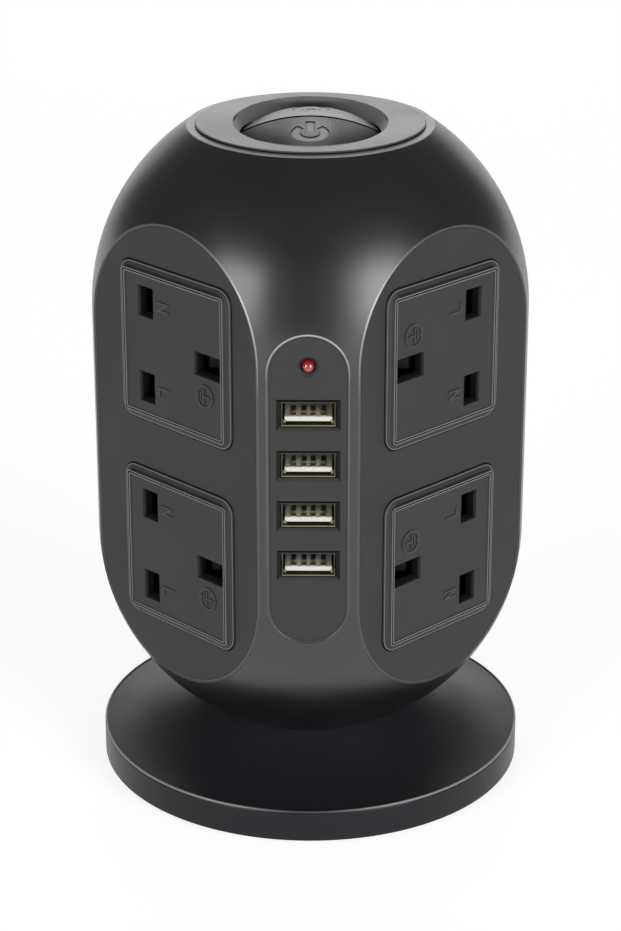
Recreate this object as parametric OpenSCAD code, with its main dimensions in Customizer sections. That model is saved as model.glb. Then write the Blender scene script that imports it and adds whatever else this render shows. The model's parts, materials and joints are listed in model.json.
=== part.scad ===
/* [Barrel] */
// Radius of the barrel and of its two domes
barrel_r = 55.5; // [54.5:0.5:57]
// Height of the centre of the lower dome above the table
low_dome_z = 66; // [65:0.5:68]
// Height of the straight stretch between the two dome centres
straight_h = 60.5; // [60:0.5:63]
// Radius of the flat ring on top of the barrel
crown_r = 31; // [30.6:0.2:32]
// Radius of the barrel where it meets its base
neck_r = 28.7; // [28:0.1:29.5]
// Wall thickness of the two barrel shells
shell_wall = 2.2; // [2:0.1:2.6]

/* [Flats] */
// Width of each of the four socket flats cut into the barrel
flat_w = 59.6; // [58.8:0.2:60.4]
// Width of the narrow flat that carries the charging ports
usb_flat_w = 20; // [19.6:0.2:21]
// Width of the shell's lip left round an inset panel
lip_w = 0.7; // [0.6:0.1:0.9]
// Thickness of a socket panel
panel_t = 2.5; // [2.2:0.1:2.8]
// Width of the ledge behind the edge of a socket panel
ledge_w = 2; // [1.6:0.1:2.1]
// Thickness of the ledges behind the panels
ledge_t = 1.8; // [1.5:0.1:2.1]

/* [Sockets] */
// Distance between the live and neutral pins, and from their row to the earth pin
pin_spacing = 22.23; // [22.1:0.01:22.4]
// Height from the lower to the upper socket of a panel
socket_pitch = 53.9; // [53.4:0.1:54.4]
// Height halfway between the two sockets of a panel
sockets_z = 97.25; // [96.75:0.25:97.75]
// How far the bezels sit off the middle of their flat, towards the earth side
socket_shift = 1; // [0.5:0.1:1.3]
// Width of the raised bezel round a socket
bezel_w = 39.8; // [39.4:0.1:40.2]
// Height of the raised bezel round a socket
bezel_h = 41; // [40.6:0.1:41.4]
// Corner radius of a bezel at its foot
bezel_corner_r = 4; // [3.5:0.25:5]
// How far the crest of a bezel stands proud of its panel
bezel_rise = 1.3; // [1.1:0.1:1.6]
// Height of the small step at the foot of a bezel
bezel_step = 0.3; // [0.2:0.05:0.4]
// Width of the gentle shoulder of a bezel
bezel_shoulder_w = 1.2; // [1:0.05:1.3]
// Rise of that shoulder
bezel_shoulder_rise = 0.4; // [0.3:0.05:0.5]
// Width of the steep slope below the crest of a bezel
bezel_slope = 0.5; // [0.4:0.05:0.6]
// Width of a socket plate
plate_w = 35.2; // [35:0.1:35.5]
// Height of a socket plate
plate_h = 36.2; // [36:0.1:36.5]
// Corner radius of a socket plate
plate_corner_r = 0.5; // [0.3:0.1:0.7]
// How far the face of a socket plate lies below its rim, which is level with the crest
plate_drop = 0.7; // [0.5:0.1:0.9]
// Width of the flat on top of that rim
plate_rim_w = 0.25; // [0.2:0.05:0.35]
// Width of the slope from the rim down to the face
plate_rim_slope = 0.7; // [0.5:0.1:0.9]
// Wall thickness of a socket plate behind its face
plate_wall = 2.4; // [2.2:0.1:2.8]
// Seam round a socket plate
plate_seam = 0.15; // [0.1:0.05:0.2]
// Width of the hidden flange round a socket plate
flange_w = 1.5; // [1.3:0.1:1.6]
// Thickness of that flange
flange_t = 1; // [0.8:0.1:1.2]
// Distance from the middle of a bezel to the row of live and neutral slots
row_offset = 9.7; // [9.4:0.1:10]
// Width of a live or neutral slot
line_slot_w = 5.2; // [5:0.1:5.4]
// Height of a live or neutral slot
line_slot_h = 7.4; // [7.2:0.1:7.6]
// Width of an earth slot
earth_slot_w = 9.2; // [9:0.1:9.4]
// Height of an earth slot
earth_slot_h = 5.6; // [5.4:0.1:5.8]
// Chamfer round the slots
slot_chamfer = 0.25; // [0.15:0.05:0.35]

/* [Shutters] */
// Thickness of a shutter
shutter_t = 1.8; // [1.6:0.1:2]
// How far a shutter reaches past the slot that it covers
shutter_margin = 0.3; // [0.2:0.05:0.4]
// Gap on each sliding side of a shutter
slide_gap = 0.15; // [0.1:0.05:0.2]
// Width of the side rails and of the cross bar of a shutter
shutter_rail_w = 1.6; // [1.4:0.1:1.8]
// Width of the ramp that the earth pin pushes
ramp_w = 4.8; // [4.4:0.1:5.2]
// Outer radius of a return spring
spring_r = 1.5; // [1.3:0.1:1.6]
// Wire thickness of a return spring
spring_wire = 0.4; // [0.35:0.05:0.5]

/* [Contacts] */
// Thickness of the brass contact strips
strip_t = 0.6; // [0.5:0.05:0.7]
// Length of a live or neutral pin
line_pin_l = 17.7; // [17.2:0.1:18.2]
// Length of an earth pin
earth_pin_l = 22.7; // [22.3:0.1:23]
// Thickness of a plug pin
pin_t = 4; // [3.9:0.05:4.1]
// How much closer than a pin the two leaves of a clip stand
clip_grip = 0.4; // [0.3:0.05:0.5]
// Length of a clip along its strip
clip_l = 6; // [5.5:0.1:6.4]
// Length of the tail that a strip sends through the carrier floor
strip_tail = 4; // [3.5:0.1:5]

/* [Carriers] */
// Thickness of a contact carrier's floor
floor_t = 1.6; // [1.4:0.1:1.8]
// Thickness of a contact carrier's cross walls
cross_wall = 1.6; // [1.4:0.1:1.8]
// Radius of the shank of the carrier screws
screw_r = 1.2; // [1.1:0.05:1.3]
// Radius of the head of the carrier screws
screw_head_r = 2.4; // [2.2:0.1:2.6]

/* [Charging ports] */
// Thickness of the panel with the charging ports
usb_panel_t = 2; // [1.8:0.1:2.2]
// Width of the ledge behind that panel
usb_ledge_w = 1.2; // [1:0.1:1.3]
// Height of the uppermost port
usb_top_z = 116.15; // [115.5:0.05:116.5]
// Distance between two ports
usb_pitch = 13.05; // [12.8:0.05:13.2]
// Width of the metal shell of a port
port_w = 13.1; // [13:0.05:13.3]
// Height of the metal shell of a port
port_h = 5.7; // [5.6:0.05:5.8]
// Depth of the metal shell of a port
port_depth = 14; // [13.5:0.1:14.5]
// Wall thickness of the metal shell of a port
port_wall = 0.35; // [0.3:0.05:0.4]
// Width of the bevel round a port
port_bevel = 0.95; // [0.8:0.05:1]
// Depth of the bevel round a port
port_bevel_depth = 1; // [0.8:0.1:1.4]
// How far a port sits below the middle of its bevelled recess
port_sink = 0.3; // [0:0.05:0.4]
// Height of the indicator lamp
lamp_z = 128.4; // [128:0.1:128.8]
// Radius of the indicator lamp
lamp_r = 1.5; // [1.4:0.05:1.6]

/* [Switch] */
// Radius of the collar on top of the barrel
collar_r = 28.7; // [28.2:0.1:29.2]
// Height of the collar above the barrel
collar_h = 0.9; // [0.8:0.05:1.1]
// Radius of the funnel where it starts on the collar
funnel_r = 20.5; // [20.2:0.1:21]
// Radius of the mouth round the rocker
mouth_r = 17.6; // [17.5:0.05:17.9]
// Depth of the mouth below the collar's top
mouth_depth = 2.8; // [2.6:0.1:2.9]
// Gap round the rocker at the mouth
rocker_gap = 0.5; // [0.4:0.05:0.6]
// Depth of the rocker's axle below the mouth
pivot_depth = 9.6; // [9.4:0.1:9.8]
// How far the crest of the rocker stands above the mouth
rocker_rise = 4.1; // [3.8:0.1:4.2]
// Slope of the near face of the rocker, in degrees
near_slope = 16; // [15:0.5:17]
// Slope of the far face of the rocker, in degrees
far_slope = 6; // [5:0.5:7]
// Wall thickness of the rocker
rocker_wall = 2; // [1.8:0.1:2.2]
// Radius of the rocker's axle pins
axle_r = 1.5; // [1.4:0.05:1.6]
// Running clearance round the axle pins
axle_gap = 0.06; // [0.04:0.01:0.08]

/* [Base] */
// Height of the sharp edge on top of the base's rim
rim_z = 9.2; // [8.8:0.1:9.6]
// Rounding of that edge
rim_round = 0.8; // [0.6:0.1:1]
// Radius of the hollow curve that rises to the barrel
flare_r = 50; // [44:1:60]
// Wall thickness of the base cover
base_wall = 2.2; // [2:0.1:2.4]
// Thickness of the plate under the base
base_plate_t = 1.6; // [1.5:0.1:1.8]
// Height of the base above the table, on its feet
foot_h = 1; // [0.9:0.1:1.2]
// Radius of a rubber foot
foot_r = 6; // [5.5:0.1:6.5]

/* [Cord inlet] */
// Height of the cord inlet above the table
inlet_z = 45; // [44:0.5:46]
// Radius of the bore that a mains cord passes through
inlet_bore_r = 3.9; // [3.7:0.05:4.1]
// Outer radius of the inlet bush
inlet_r = 6; // [5.8:0.1:6.2]

/* [Hidden] */
SIDES = [
    ["front_left", 0, false],
    ["front_right", 0, true],
    ["rear_right", 180, false],
    ["rear_left", 180, true],
];
LEVELS = ["lower", "upper"];

cut = 2;
seam = 0.1;
contact_gap = 0.05;
round_fn = 96;
small_fn = 32;

// The base is as wide as the barrel
base_r = barrel_r;

// Main planes, measured from the axis of the barrel
flat_d = sqrt(pow(barrel_r, 2) - pow(flat_w / 2, 2));
panel_back = flat_d - panel_t;
ledge_back = panel_back - ledge_t;
usb_d = sqrt(pow(barrel_r, 2) - pow(usb_flat_w / 2, 2));
usb_back = usb_d - usb_panel_t;
usb_ledge_back = usb_back - ledge_t;
panel_r = flat_w / 2 - lip_w;
window_r = panel_r - ledge_w;
usb_panel_r = usb_flat_w / 2 - lip_w;
usb_window_r = usb_panel_r - usb_ledge_w;

// Main heights
high_dome_z = low_dome_z + straight_h;
crown_z = high_dome_z + sqrt(pow(barrel_r, 2) - pow(crown_r, 2));
neck_z = low_dome_z - sqrt(pow(barrel_r, 2) - pow(neck_r, 2));
level_z = [sockets_z - socket_pitch / 2, sockets_z + socket_pitch / 2];

// Socket stack, from the face of the plate inwards
plate_rim = flat_d + bezel_rise;
plate_face = plate_rim - plate_drop;
plate_skirt_w = 1.2;
carrier_front = panel_back - flange_t;
shutter_top = carrier_front - slide_gap;
shutter_bottom = shutter_top - shutter_t;
rail_top = shutter_bottom - slide_gap;
pin_end_gap = 0.8;
line_strip_w = plate_face - line_pin_l - pin_end_gap - strip_t;
carrier_floor = plate_face - earth_pin_l - pin_end_gap - strip_t;
carrier_back = carrier_floor - floor_t;

// Places in a socket, from the middle of its bezel
row_u = -row_offset;
earth_u = row_u + pin_spacing;
cover_l = row_u - line_slot_w / 2 - shutter_margin;
cover_r = row_u + line_slot_w / 2 + shutter_margin;
shutter_clear = 0.1;
shutter_travel = line_slot_w + shutter_margin + shutter_clear;
chamber_l = cover_l - shutter_travel - slide_gap;
chamber_r = plate_w / 2;
rim_w = 1.9;
chamber_h = plate_h / 2 + flange_w - rim_w;
rail_step = 1.3;
carrier_side = 0.5;
carrier_half_w = plate_w / 2 + flange_w + carrier_side;
carrier_half_h = socket_pitch / 2 + plate_h / 2 + flange_w;
carrier_corner_r = 2;

// Shutter
bar_l = 3.2;
bar_slope_share = 0.6;
bar_r = bar_l + shutter_rail_w + bar_slope_share * shutter_t;
earth_pin_w = 8;
ramp_start = earth_u - earth_pin_w / 2 - shutter_clear;
ramp_end = ramp_start + shutter_travel;
ramp_tip = 1;
lug_t = 1.2;
spring_w = rail_top - spring_r;
spring_turns = 9;
spring_steps = 6;
spring_sides = 4;

// Contact strips
leaf_u = pin_t / 2 - clip_grip / 2;
leaf_flare = 0.9;
leaf_top_gap = 1;
bar_offset = 3.3;
bar_w = 2.6;
rib_half_w = bar_offset + bar_w;
notch_gap = 0.4;

// Screws that hold a carrier to its panel
middle_screw_u = (row_u + rib_half_w + earth_u - bar_w / 2) / 2;
ear_dz = 4;
ear_half_w = 6;
ear_t = 2;
boss_r = 3;
ear_z = carrier_half_h + ear_dz;
ear_l = 2 * ear_dz + boss_r;
screw_head_h = 1.6;
boss_end = rail_top - 4 * cross_wall;

function side_of(name) = [for (s = SIDES) if (s[0] == name) s][0];

// Moves a shape that is drawn flat, with its height along Y and the distance from
// the barrel's axis along Z, to the flat of that side
module on_side(s) {
    rotate([0, 0, s[1]])
        mirror([s[2] ? 1 : 0, 0, 0])
            rotate([90, 0, -45])
                children();
}

module on_corner() {
    rotate([90, 0, 0])
        children();
}

module bar(x0, x1, y0, y1, z0, z1) {
    translate([x0, y0, z0])
        cube([x1 - x0, y1 - y0, z1 - z0]);
}

module stadium(r) {
    for (z = [low_dome_z, high_dome_z])
        translate([0, z])
            circle(r, $fn = round_fn);
    translate([-r, low_dome_z])
        square([2 * r, straight_h]);
}

module stadium_plate(r, z0, z1) {
    translate([0, 0, z0])
        linear_extrude(z1 - z0)
            stadium(r);
}

module rounded_plate(w, h, r, z0, z1) {
    translate([0, 0, z0])
        linear_extrude(z1 - z0) {
            square([w - 2 * r, h], center = true);
            square([w, h - 2 * r], center = true);
            for (x = [-1, 1], y = [-1, 1])
                translate([x * (w / 2 - r), y * (h / 2 - r)])
                    circle(r, $fn = small_fn);
        }
}

// A pad with rounded corners whose four sides lean in by slope as they rise
module sloped_pad(w, h, r, rise, slope) {
    for (x = [-1, 1], y = [-1, 1])
        translate([x * (w / 2 - r), y * (h / 2 - r), 0])
            cylinder(r1 = r, r2 = r - slope, h = rise, $fn = round_fn);
    rotate([90, 0, 0])
        translate([0, 0, r - h / 2])
            linear_extrude(h - 2 * r)
                lean(w, rise, slope);
    rotate([90, 0, 90])
        translate([0, 0, r - w / 2])
            linear_extrude(w - 2 * r)
                lean(h, rise, slope);
}

module lean(w, rise, slope) {
    polygon([[-w / 2, 0], [w / 2, 0], [w / 2 - slope, rise], [slope - w / 2, rise]]);
}

// A rectangular hole that narrows by slope on every side over its depth
module sloped_hole(w, h, z_mouth, depth, slope) {
    intersection() {
        translate([0, 0, z_mouth])
            rotate([90, 0, 0])
                linear_extrude(h, center = true)
                    funnel_outline(w, depth, slope);
        translate([0, 0, z_mouth])
            rotate([90, 0, 90])
                linear_extrude(w, center = true)
                    funnel_outline(h, depth, slope);
    }
}

module funnel_outline(w, depth, slope) {
    polygon([
        [-w / 2, 0], [slope - w / 2, -depth], [w / 2 - slope, -depth], [w / 2, 0],
        [w / 2, cut], [-w / 2, cut],
    ]);
}

// The barrel as a turned solid: two domes and the straight stretch between them
module barrel(r) {
    rotate_extrude($fn = round_fn)
        intersection() {
            union() {
                for (z = [low_dome_z, high_dome_z])
                    translate([0, z])
                        circle(r, $fn = round_fn);
                translate([0, low_dome_z])
                    square([r, straight_h]);
            }
            translate([0, neck_z + barrel_r - r])
                square([r, crown_z - neck_z - 2 * (barrel_r - r)]);
        }
}

module beyond(d) {
    bar(-barrel_r, barrel_r, 0, crown_z + cut, d, d + barrel_r);
}

module flatted_barrel(r, socket_d, port_d) {
    difference() {
        barrel(r);
        for (s = SIDES)
            on_side(s)
                beyond(socket_d);
        on_corner()
            beyond(port_d);
    }
}

shell_hole_r = 24;
floor_hole_r = 14;
neck_screw_pcr = 21;
neck_screw_r = 1.5;
neck_boss_r = 3.6;
neck_boss_h = 8;
deck_t = base_wall;
inlet_boss_r = inlet_r + shell_wall;
inlet_boss_y = 44.5;
inlet_flange_t = 1.5;
inlet_end = barrel_r - seam;

module neck_screw_places() {
    for (a = [45, 135, 225, 315])
        rotate([0, 0, a])
            translate([neck_screw_pcr, 0, 0])
                children();
}

module along_rear(y0, y1, r) {
    translate([0, y0, inlet_z])
        rotate([-90, 0, 0])
            cylinder(r = r, h = y1 - y0, $fn = round_fn);
}

module shell() {
    difference() {
        flatted_barrel(barrel_r, flat_d, usb_d);
        difference() {
            flatted_barrel(barrel_r - shell_wall, ledge_back, usb_ledge_back);
            neck_screw_places()
                cylinder(r = neck_boss_r, h = neck_z + neck_boss_h, $fn = small_fn);
            along_rear(inlet_boss_y, barrel_r, inlet_boss_r);
        }
        for (s = SIDES)
            on_side(s) {
                stadium_plate(panel_r, panel_back, flat_d + cut);
                stadium_plate(window_r, ledge_back - cut, panel_back + cut);
            }
        on_corner() {
            stadium_plate(usb_panel_r, usb_back, usb_d + cut);
            stadium_plate(usb_window_r, usb_ledge_back - cut, usb_back + cut);
        }
        translate([0, 0, crown_z - shell_wall - cut])
            cylinder(r = shell_hole_r, h = shell_wall + 2 * cut, $fn = round_fn);
        translate([0, 0, neck_z - cut])
            cylinder(r = floor_hole_r, h = shell_wall + 2 * cut, $fn = round_fn);
        translate([0, 0, neck_z - cut])
            neck_screw_places()
                cylinder(r = neck_screw_r + contact_gap, h = neck_boss_h, $fn = small_fn);
        along_rear(inlet_boss_y - cut, barrel_r + cut, inlet_r + contact_gap);
    }
}

module half(direction) {
    reach = 2 * barrel_r;
    intersection() {
        children();
        translate([-reach, direction > 0 ? 0 : -reach, -cut])
            cube([2 * reach, reach, crown_z + 2 * cut]);
    }
}

module front_shell() {
    color([0.10, 0.10, 0.11])
        half(-1)
            shell();
}

module rear_shell() {
    color([0.10, 0.10, 0.11])
        half(1)
            shell();
}

module cord_inlet() {
    color([0.07, 0.07, 0.07])
        difference() {
            union() {
                along_rear(inlet_boss_y, inlet_end, inlet_r);
                along_rear(inlet_boss_y - inlet_flange_t, inlet_boss_y, inlet_boss_r);
            }
            along_rear(inlet_boss_y - inlet_flange_t - cut, inlet_end + cut, inlet_bore_r);
        }
}

bezel_step_slope = 0.15;

// A raised frame in three stages: a small step, a gentle shoulder and a steep slope
module bezel() {
    shoulder_in = bezel_step_slope + bezel_shoulder_w;
    sloped_pad(bezel_w, bezel_h, bezel_corner_r, bezel_step, bezel_step_slope);
    translate([0, 0, bezel_step])
        sloped_pad(bezel_w - 2 * bezel_step_slope, bezel_h - 2 * bezel_step_slope,
            bezel_corner_r - bezel_step_slope, bezel_shoulder_rise, bezel_shoulder_w);
    translate([0, 0, bezel_step + bezel_shoulder_rise])
        sloped_pad(bezel_w - 2 * shoulder_in, bezel_h - 2 * shoulder_in,
            bezel_corner_r - shoulder_in, bezel_rise - bezel_step - bezel_shoulder_rise,
            bezel_slope);
}

module screw_boss_places() {
    translate([socket_shift + middle_screw_u, sockets_z, 0])
        children();
    for (v = [-1, 1])
        translate([socket_shift, sockets_z + v * ear_z, 0])
            children();
}

module panel(s) {
    color([0.24, 0.24, 0.25])
        on_side(s)
            difference() {
                union() {
                    stadium_plate(panel_r - seam, panel_back, flat_d);
                    for (z = level_z)
                        translate([socket_shift, z, flat_d])
                            bezel();
                    screw_boss_places()
                        translate([0, 0, boss_end])
                            cylinder(r = boss_r, h = panel_back - boss_end, $fn = small_fn);
                }
                for (z = level_z)
                    translate([socket_shift, z, 0])
                        rounded_plate(plate_w + 2 * plate_seam, plate_h + 2 * plate_seam,
                            plate_corner_r + plate_seam, panel_back - cut, flat_d + bezel_rise + cut);
                screw_boss_places()
                    translate([0, 0, boss_end - cut])
                        cylinder(r = screw_r + contact_gap, h = panel_back - boss_end + cut,
                            $fn = small_fn);
            }
}

module in_socket(s, level) {
    on_side(s)
        translate([socket_shift, level_z[level], 0])
            children();
}

module slot_places() {
    for (v = [-1, 1])
        translate([row_u, v * pin_spacing / 2, 0])
            children();
}

// A slot through a plate, chamfered at its mouth. The chamfer reaches past the outer end
// by over_end, which is nothing where that end runs into the slope of the rim.
module slot(w, h, over_end) {
    translate([0, 0, plate_face])
        bar(-w / 2, w / 2, -h / 2, h / 2, carrier_front - cut - plate_face, cut);
    translate([(over_end - slot_chamfer) / 2, 0, 0])
        sloped_hole(w + slot_chamfer + over_end, h + 2 * slot_chamfer, plate_face,
            slot_chamfer, slot_chamfer);
}

module socket_plate(s, level) {
    color([0.27, 0.27, 0.28])
        in_socket(s, level)
            difference() {
                union() {
                    rounded_plate(plate_w, plate_h, plate_corner_r, panel_back, plate_rim);
                    rounded_plate(plate_w + 2 * flange_w, plate_h + 2 * flange_w,
                        plate_corner_r + flange_w, carrier_front, panel_back);
                }
                sloped_hole(plate_w - 2 * plate_rim_w, plate_h - 2 * plate_rim_w, plate_rim,
                    plate_drop, plate_rim_slope);
                bar(plate_skirt_w - plate_w / 2, plate_w / 2 - plate_skirt_w,
                    plate_skirt_w - plate_h / 2, plate_h / 2 - plate_skirt_w,
                    carrier_front - cut, plate_face - plate_wall);
                slot_places()
                    slot(line_slot_w, line_slot_h, slot_chamfer);
                translate([earth_u, 0, 0])
                    slot(earth_slot_w, earth_slot_h, 0);
            }
}

module shutter(s, level) {
    rail_out = chamber_h - slide_gap;
    rail_in = rail_out - shutter_rail_w;
    cover_in = pin_spacing / 2 - line_slot_h / 2 - shutter_margin;
    color([0.85, 0.85, 0.82])
        in_socket(s, level) {
            for (v = [-1, 1])
                mirror([0, v < 0 ? 1 : 0, 0]) {
                    bar(cover_l, bar_r, rail_in, rail_out, shutter_bottom, shutter_top);
                    bar(cover_l, cover_r, cover_in, rail_out, shutter_bottom, shutter_top);
                }
            bar(bar_l, bar_r, -rail_out, rail_out, shutter_bottom, shutter_top);
            rotate([90, 0, 0])
                linear_extrude(ramp_w, center = true)
                    polygon([
                        [bar_l, shutter_bottom], [bar_l, shutter_top],
                        [ramp_start, shutter_top],
                        [ramp_end, shutter_top - shutter_travel],
                        [ramp_end, shutter_top - shutter_travel - ramp_tip],
                        [ramp_end - ramp_tip, shutter_top - shutter_travel - ramp_tip],
                        [bar_r, shutter_bottom],
                    ]);
            bar(bar_l, bar_l + lug_t, -spring_r, spring_r, spring_w - spring_r,
                shutter_bottom);
        }
}

// A coil spring along X from x0 to x1, swept as one closed tube
module coil(x0, x1, r, wire, turns, steps, sides) {
    rings = turns * steps;
    mid_r = r - wire / 2;
    pts = [for (i = [0:rings], j = [0:sides - 1])
        let (a = 360 * i / steps, b = 360 * (j + 1 / 2) / sides,
             rad = mid_r + wire / 2 * cos(b))
        [x0 + wire / 2 + (x1 - x0 - wire) * i / rings + wire / 2 * sin(b),
         rad * cos(a), rad * sin(a)]];
    walls = [for (i = [0:rings - 1], j = [0:sides - 1])
        let (k = (j + 1) % sides)
        each [[i * sides + j, (i + 1) * sides + j, (i + 1) * sides + k],
              [i * sides + j, (i + 1) * sides + k, i * sides + k]]];
    first = [for (j = [0:sides - 1]) j];
    last = [for (j = [sides - 1:-1:0]) rings * sides + j];
    polyhedron(pts, concat(walls, [first], [last]));
}

module spring(s, level) {
    color([0.72, 0.73, 0.75])
        in_socket(s, level)
            translate([0, 0, spring_w])
                coil(chamber_l + contact_gap, bar_l - contact_gap, spring_r - contact_gap,
                    spring_wire, spring_turns, spring_steps, spring_sides);
}

module carrier(s) {
    color([0.16, 0.16, 0.17])
        on_side(s)
            translate([socket_shift, sockets_z, 0])
                difference() {
                    union() {
                        rounded_plate(2 * carrier_half_w, 2 * carrier_half_h,
                            carrier_corner_r, carrier_back, carrier_front);
                        rounded_plate(2 * ear_half_w, 2 * (carrier_half_h + ear_l), boss_r,
                            boss_end - ear_t, boss_end);
                    }
                    for (v = [-1, 1])
                        translate([0, v * socket_pitch / 2, 0]) {
                            bar(chamber_l, chamber_r, -chamber_h, chamber_h, rail_top,
                                carrier_front + cut);
                            chamber_floor();
                        }
                    middle_chamber();
                    translate([middle_screw_u, 0, 0])
                        screw_hole(carrier_back);
                    for (v = [-1, 1])
                        translate([0, v * ear_z, 0])
                            screw_hole(boss_end - ear_t);
                    tail_holes(s);
                }
}

low_chamber_h = chamber_h - rail_step;
middle_h = socket_pitch / 2 - chamber_h - cross_wall;

// The space below the shutter: deep over the earth contact, shallower over the rib
// that carries the live and neutral strips
module chamber_floor() {
    bar(chamber_l, row_u - rib_half_w, -low_chamber_h, low_chamber_h, carrier_floor,
        rail_top + seam);
    bar(row_u - rib_half_w - seam, row_u + rib_half_w, -low_chamber_h, low_chamber_h,
        line_strip_w, rail_top + seam);
    bar(row_u + rib_half_w - seam, chamber_r, -low_chamber_h, low_chamber_h,
        carrier_floor, rail_top + seam);
}

module middle_chamber() {
    run = socket_pitch / 2;
    difference() {
        bar(chamber_l, chamber_r, -middle_h, middle_h, carrier_floor, carrier_front + cut);
        translate([middle_screw_u, 0, 0])
            cylinder(r = boss_r, h = boss_end, $fn = small_fn);
        bar(row_u - rib_half_w, row_u + rib_half_w, -run, run, carrier_floor - cut,
            line_strip_w);
    }
    for (v = [-1, 1])
        translate([row_u + v * (bar_offset + bar_w / 2), 0, 0])
            bar(-bar_w / 2 - notch_gap, bar_w / 2 + notch_gap, -run, run, line_strip_w,
                line_strip_w + strip_t + notch_gap);
    translate([earth_u, 0, 0])
        bar(-bar_w / 2 - notch_gap, bar_w / 2 + notch_gap, -run, run, carrier_floor,
            carrier_floor + strip_t + notch_gap);
}

module screw_hole(z_head) {
    translate([0, 0, z_head - cut])
        cylinder(r = screw_r + contact_gap, h = carrier_front - z_head, $fn = small_fn);
    translate([0, 0, z_head - cut])
        cylinder(r = screw_head_r + contact_gap, h = cut + screw_head_h / 2, $fn = small_fn);
}

tail_w = 2;
tail_gap = 0.1;
tail_z = [low_chamber_h / 3, -low_chamber_h / 3, 0];

// The three tails of a side, from the middle of its carrier: live, neutral and earth
function tail_u(kind) =
    kind == 2 ? earth_u : row_u + (kind == 0 ? 1 : -1) * (bar_offset + bar_w / 2);

module tail_holes(s) {
    for (kind = [0, 1, 2])
        translate([tail_u(kind), tail_z[kind] / 2, 0])
            bar(-strip_t / 2 - tail_gap, strip_t / 2 + tail_gap, -tail_w / 2 - tail_gap,
                tail_w / 2 + tail_gap, carrier_back - cut, line_strip_w + seam);
}

// A clip that grips a flat pin: two leaves on a web, opened at their tips
module clip(z0, z1) {
    rotate([90, 0, 0])
        linear_extrude(clip_l, center = true) {
            polygon([
                [-leaf_u - strip_t, z0], [leaf_u + strip_t, z0],
                [leaf_u + strip_t, z0 + strip_t], [-leaf_u - strip_t, z0 + strip_t],
            ]);
            for (side = [-1, 1])
                polygon([
                    [side * leaf_u, z0], [side * (leaf_u + strip_t), z0],
                    [side * (leaf_u + strip_t), z1 - leaf_flare],
                    [side * (leaf_u + strip_t + leaf_flare), z1],
                    [side * (leaf_u + leaf_flare), z1],
                    [side * leaf_u, z1 - leaf_flare],
                ]);
        }
}

// A live or neutral strip: its bar runs beside the row of clips
module line_strip(clip_v, bar_side, kind) {
    bar_mid = row_u + bar_side * (bar_offset + bar_w / 2);
    for (v = [-1, 1])
        translate([0, v * socket_pitch / 2 + clip_v * pin_spacing / 2, 0]) {
            translate([row_u, 0, 0])
                clip(line_strip_w, rail_top - leaf_top_gap);
            translate([row_u, 0, 0])
                mirror([bar_side < 0 ? 1 : 0, 0, 0])
                    bar(leaf_u, bar_offset + bar_w, -clip_l / 2, clip_l / 2,
                        line_strip_w, line_strip_w + strip_t);
        }
    translate([bar_mid, clip_v * pin_spacing / 2, 0])
        bar(-bar_w / 2, bar_w / 2, -socket_pitch / 2, socket_pitch / 2, line_strip_w,
            line_strip_w + strip_t);
    tail(kind, line_strip_w + strip_t);
}

module tail(kind, z1) {
    translate([tail_u(kind), tail_z[kind] / 2, 0])
        bar(-strip_t / 2, strip_t / 2, -tail_w / 2, tail_w / 2, carrier_back - strip_tail, z1);
}

module on_carrier(s) {
    on_side(s)
        translate([socket_shift, sockets_z, 0])
            children();
}

module live_strips() {
    color([0.80, 0.62, 0.28])
        for (s = SIDES)
            on_carrier(s)
                line_strip(s[2] ? 1 : -1, 1, 0);
}

module neutral_strips() {
    color([0.80, 0.62, 0.28])
        for (s = SIDES)
            on_carrier(s)
                line_strip(s[2] ? -1 : 1, -1, 1);
}

module earth_strips() {
    earth_top = shutter_top - shutter_travel - ramp_tip - leaf_top_gap;
    color([0.80, 0.62, 0.28])
        for (s = SIDES)
            on_carrier(s) {
                translate([earth_u, 0, 0])
                    bar(-bar_w / 2, bar_w / 2, -socket_pitch / 2, socket_pitch / 2,
                        carrier_floor, carrier_floor + strip_t);
                for (v = [-1, 1])
                    translate([earth_u, v * socket_pitch / 2, 0])
                        rotate([0, 0, 90])
                            clip(carrier_floor, earth_top);
                tail(2, carrier_floor + strip_t);
            }
}

module screw(z_head, z_tip, r, head_r, head_h) {
    translate([0, 0, z_head - head_h / 2])
        cylinder(r = head_r, h = head_h, $fn = small_fn);
    translate([0, 0, z_head])
        cylinder(r = r, h = z_tip - z_head, $fn = small_fn);
}

module carrier_screws() {
    tip = panel_back - ledge_t;
    color([0.70, 0.70, 0.72])
        for (s = SIDES)
            on_side(s) {
                translate([socket_shift + middle_screw_u, sockets_z, 0])
                    screw(carrier_back, tip, screw_r, screw_head_r, screw_head_h);
                for (v = [-1, 1])
                    translate([socket_shift, sockets_z + v * ear_z, 0])
                        screw(boss_end - ear_t, tip, screw_r, screw_head_r, screw_head_h);
            }
}

// Charging ports
port_zs = [for (i = [0:3]) usb_top_z - i * usb_pitch];
port_seam = 0.2;
port_front = usb_d - port_bevel_depth;
port_back = port_front - port_depth;
tongue_w = 11.4;
tongue_t = 1.15;
tongue_low = 1.8;
tongue_set_back = 0.8;
tongue_block = 3;
usb_contact_w = 1;
usb_contact_t = 0.2;
usb_inner_u = 1.1;
usb_outer_u = 3.6;
usb_contact_u = [-usb_outer_u, -usb_inner_u, usb_inner_u, usb_outer_u];
usb_contact_l = 8;
board_t = 1.6;
board_half_w = 7.6;
post_r = 2;
post_low_z = low_dome_z - usb_window_r + post_r + seam;
post_high_z = high_dome_z + usb_window_r - post_r - seam;
board_front = port_back;
board_screw_r = 0.9;
lamp_proud = 0.7;
lamp_rim_r = 2;
lamp_rim_h = 1;
lamp_sink_r = 2.6;
lamp_sink_h = 1;
lamp_seam = 0.05;
lamp_back = usb_back - lamp_rim_h - contact_gap;
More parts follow.
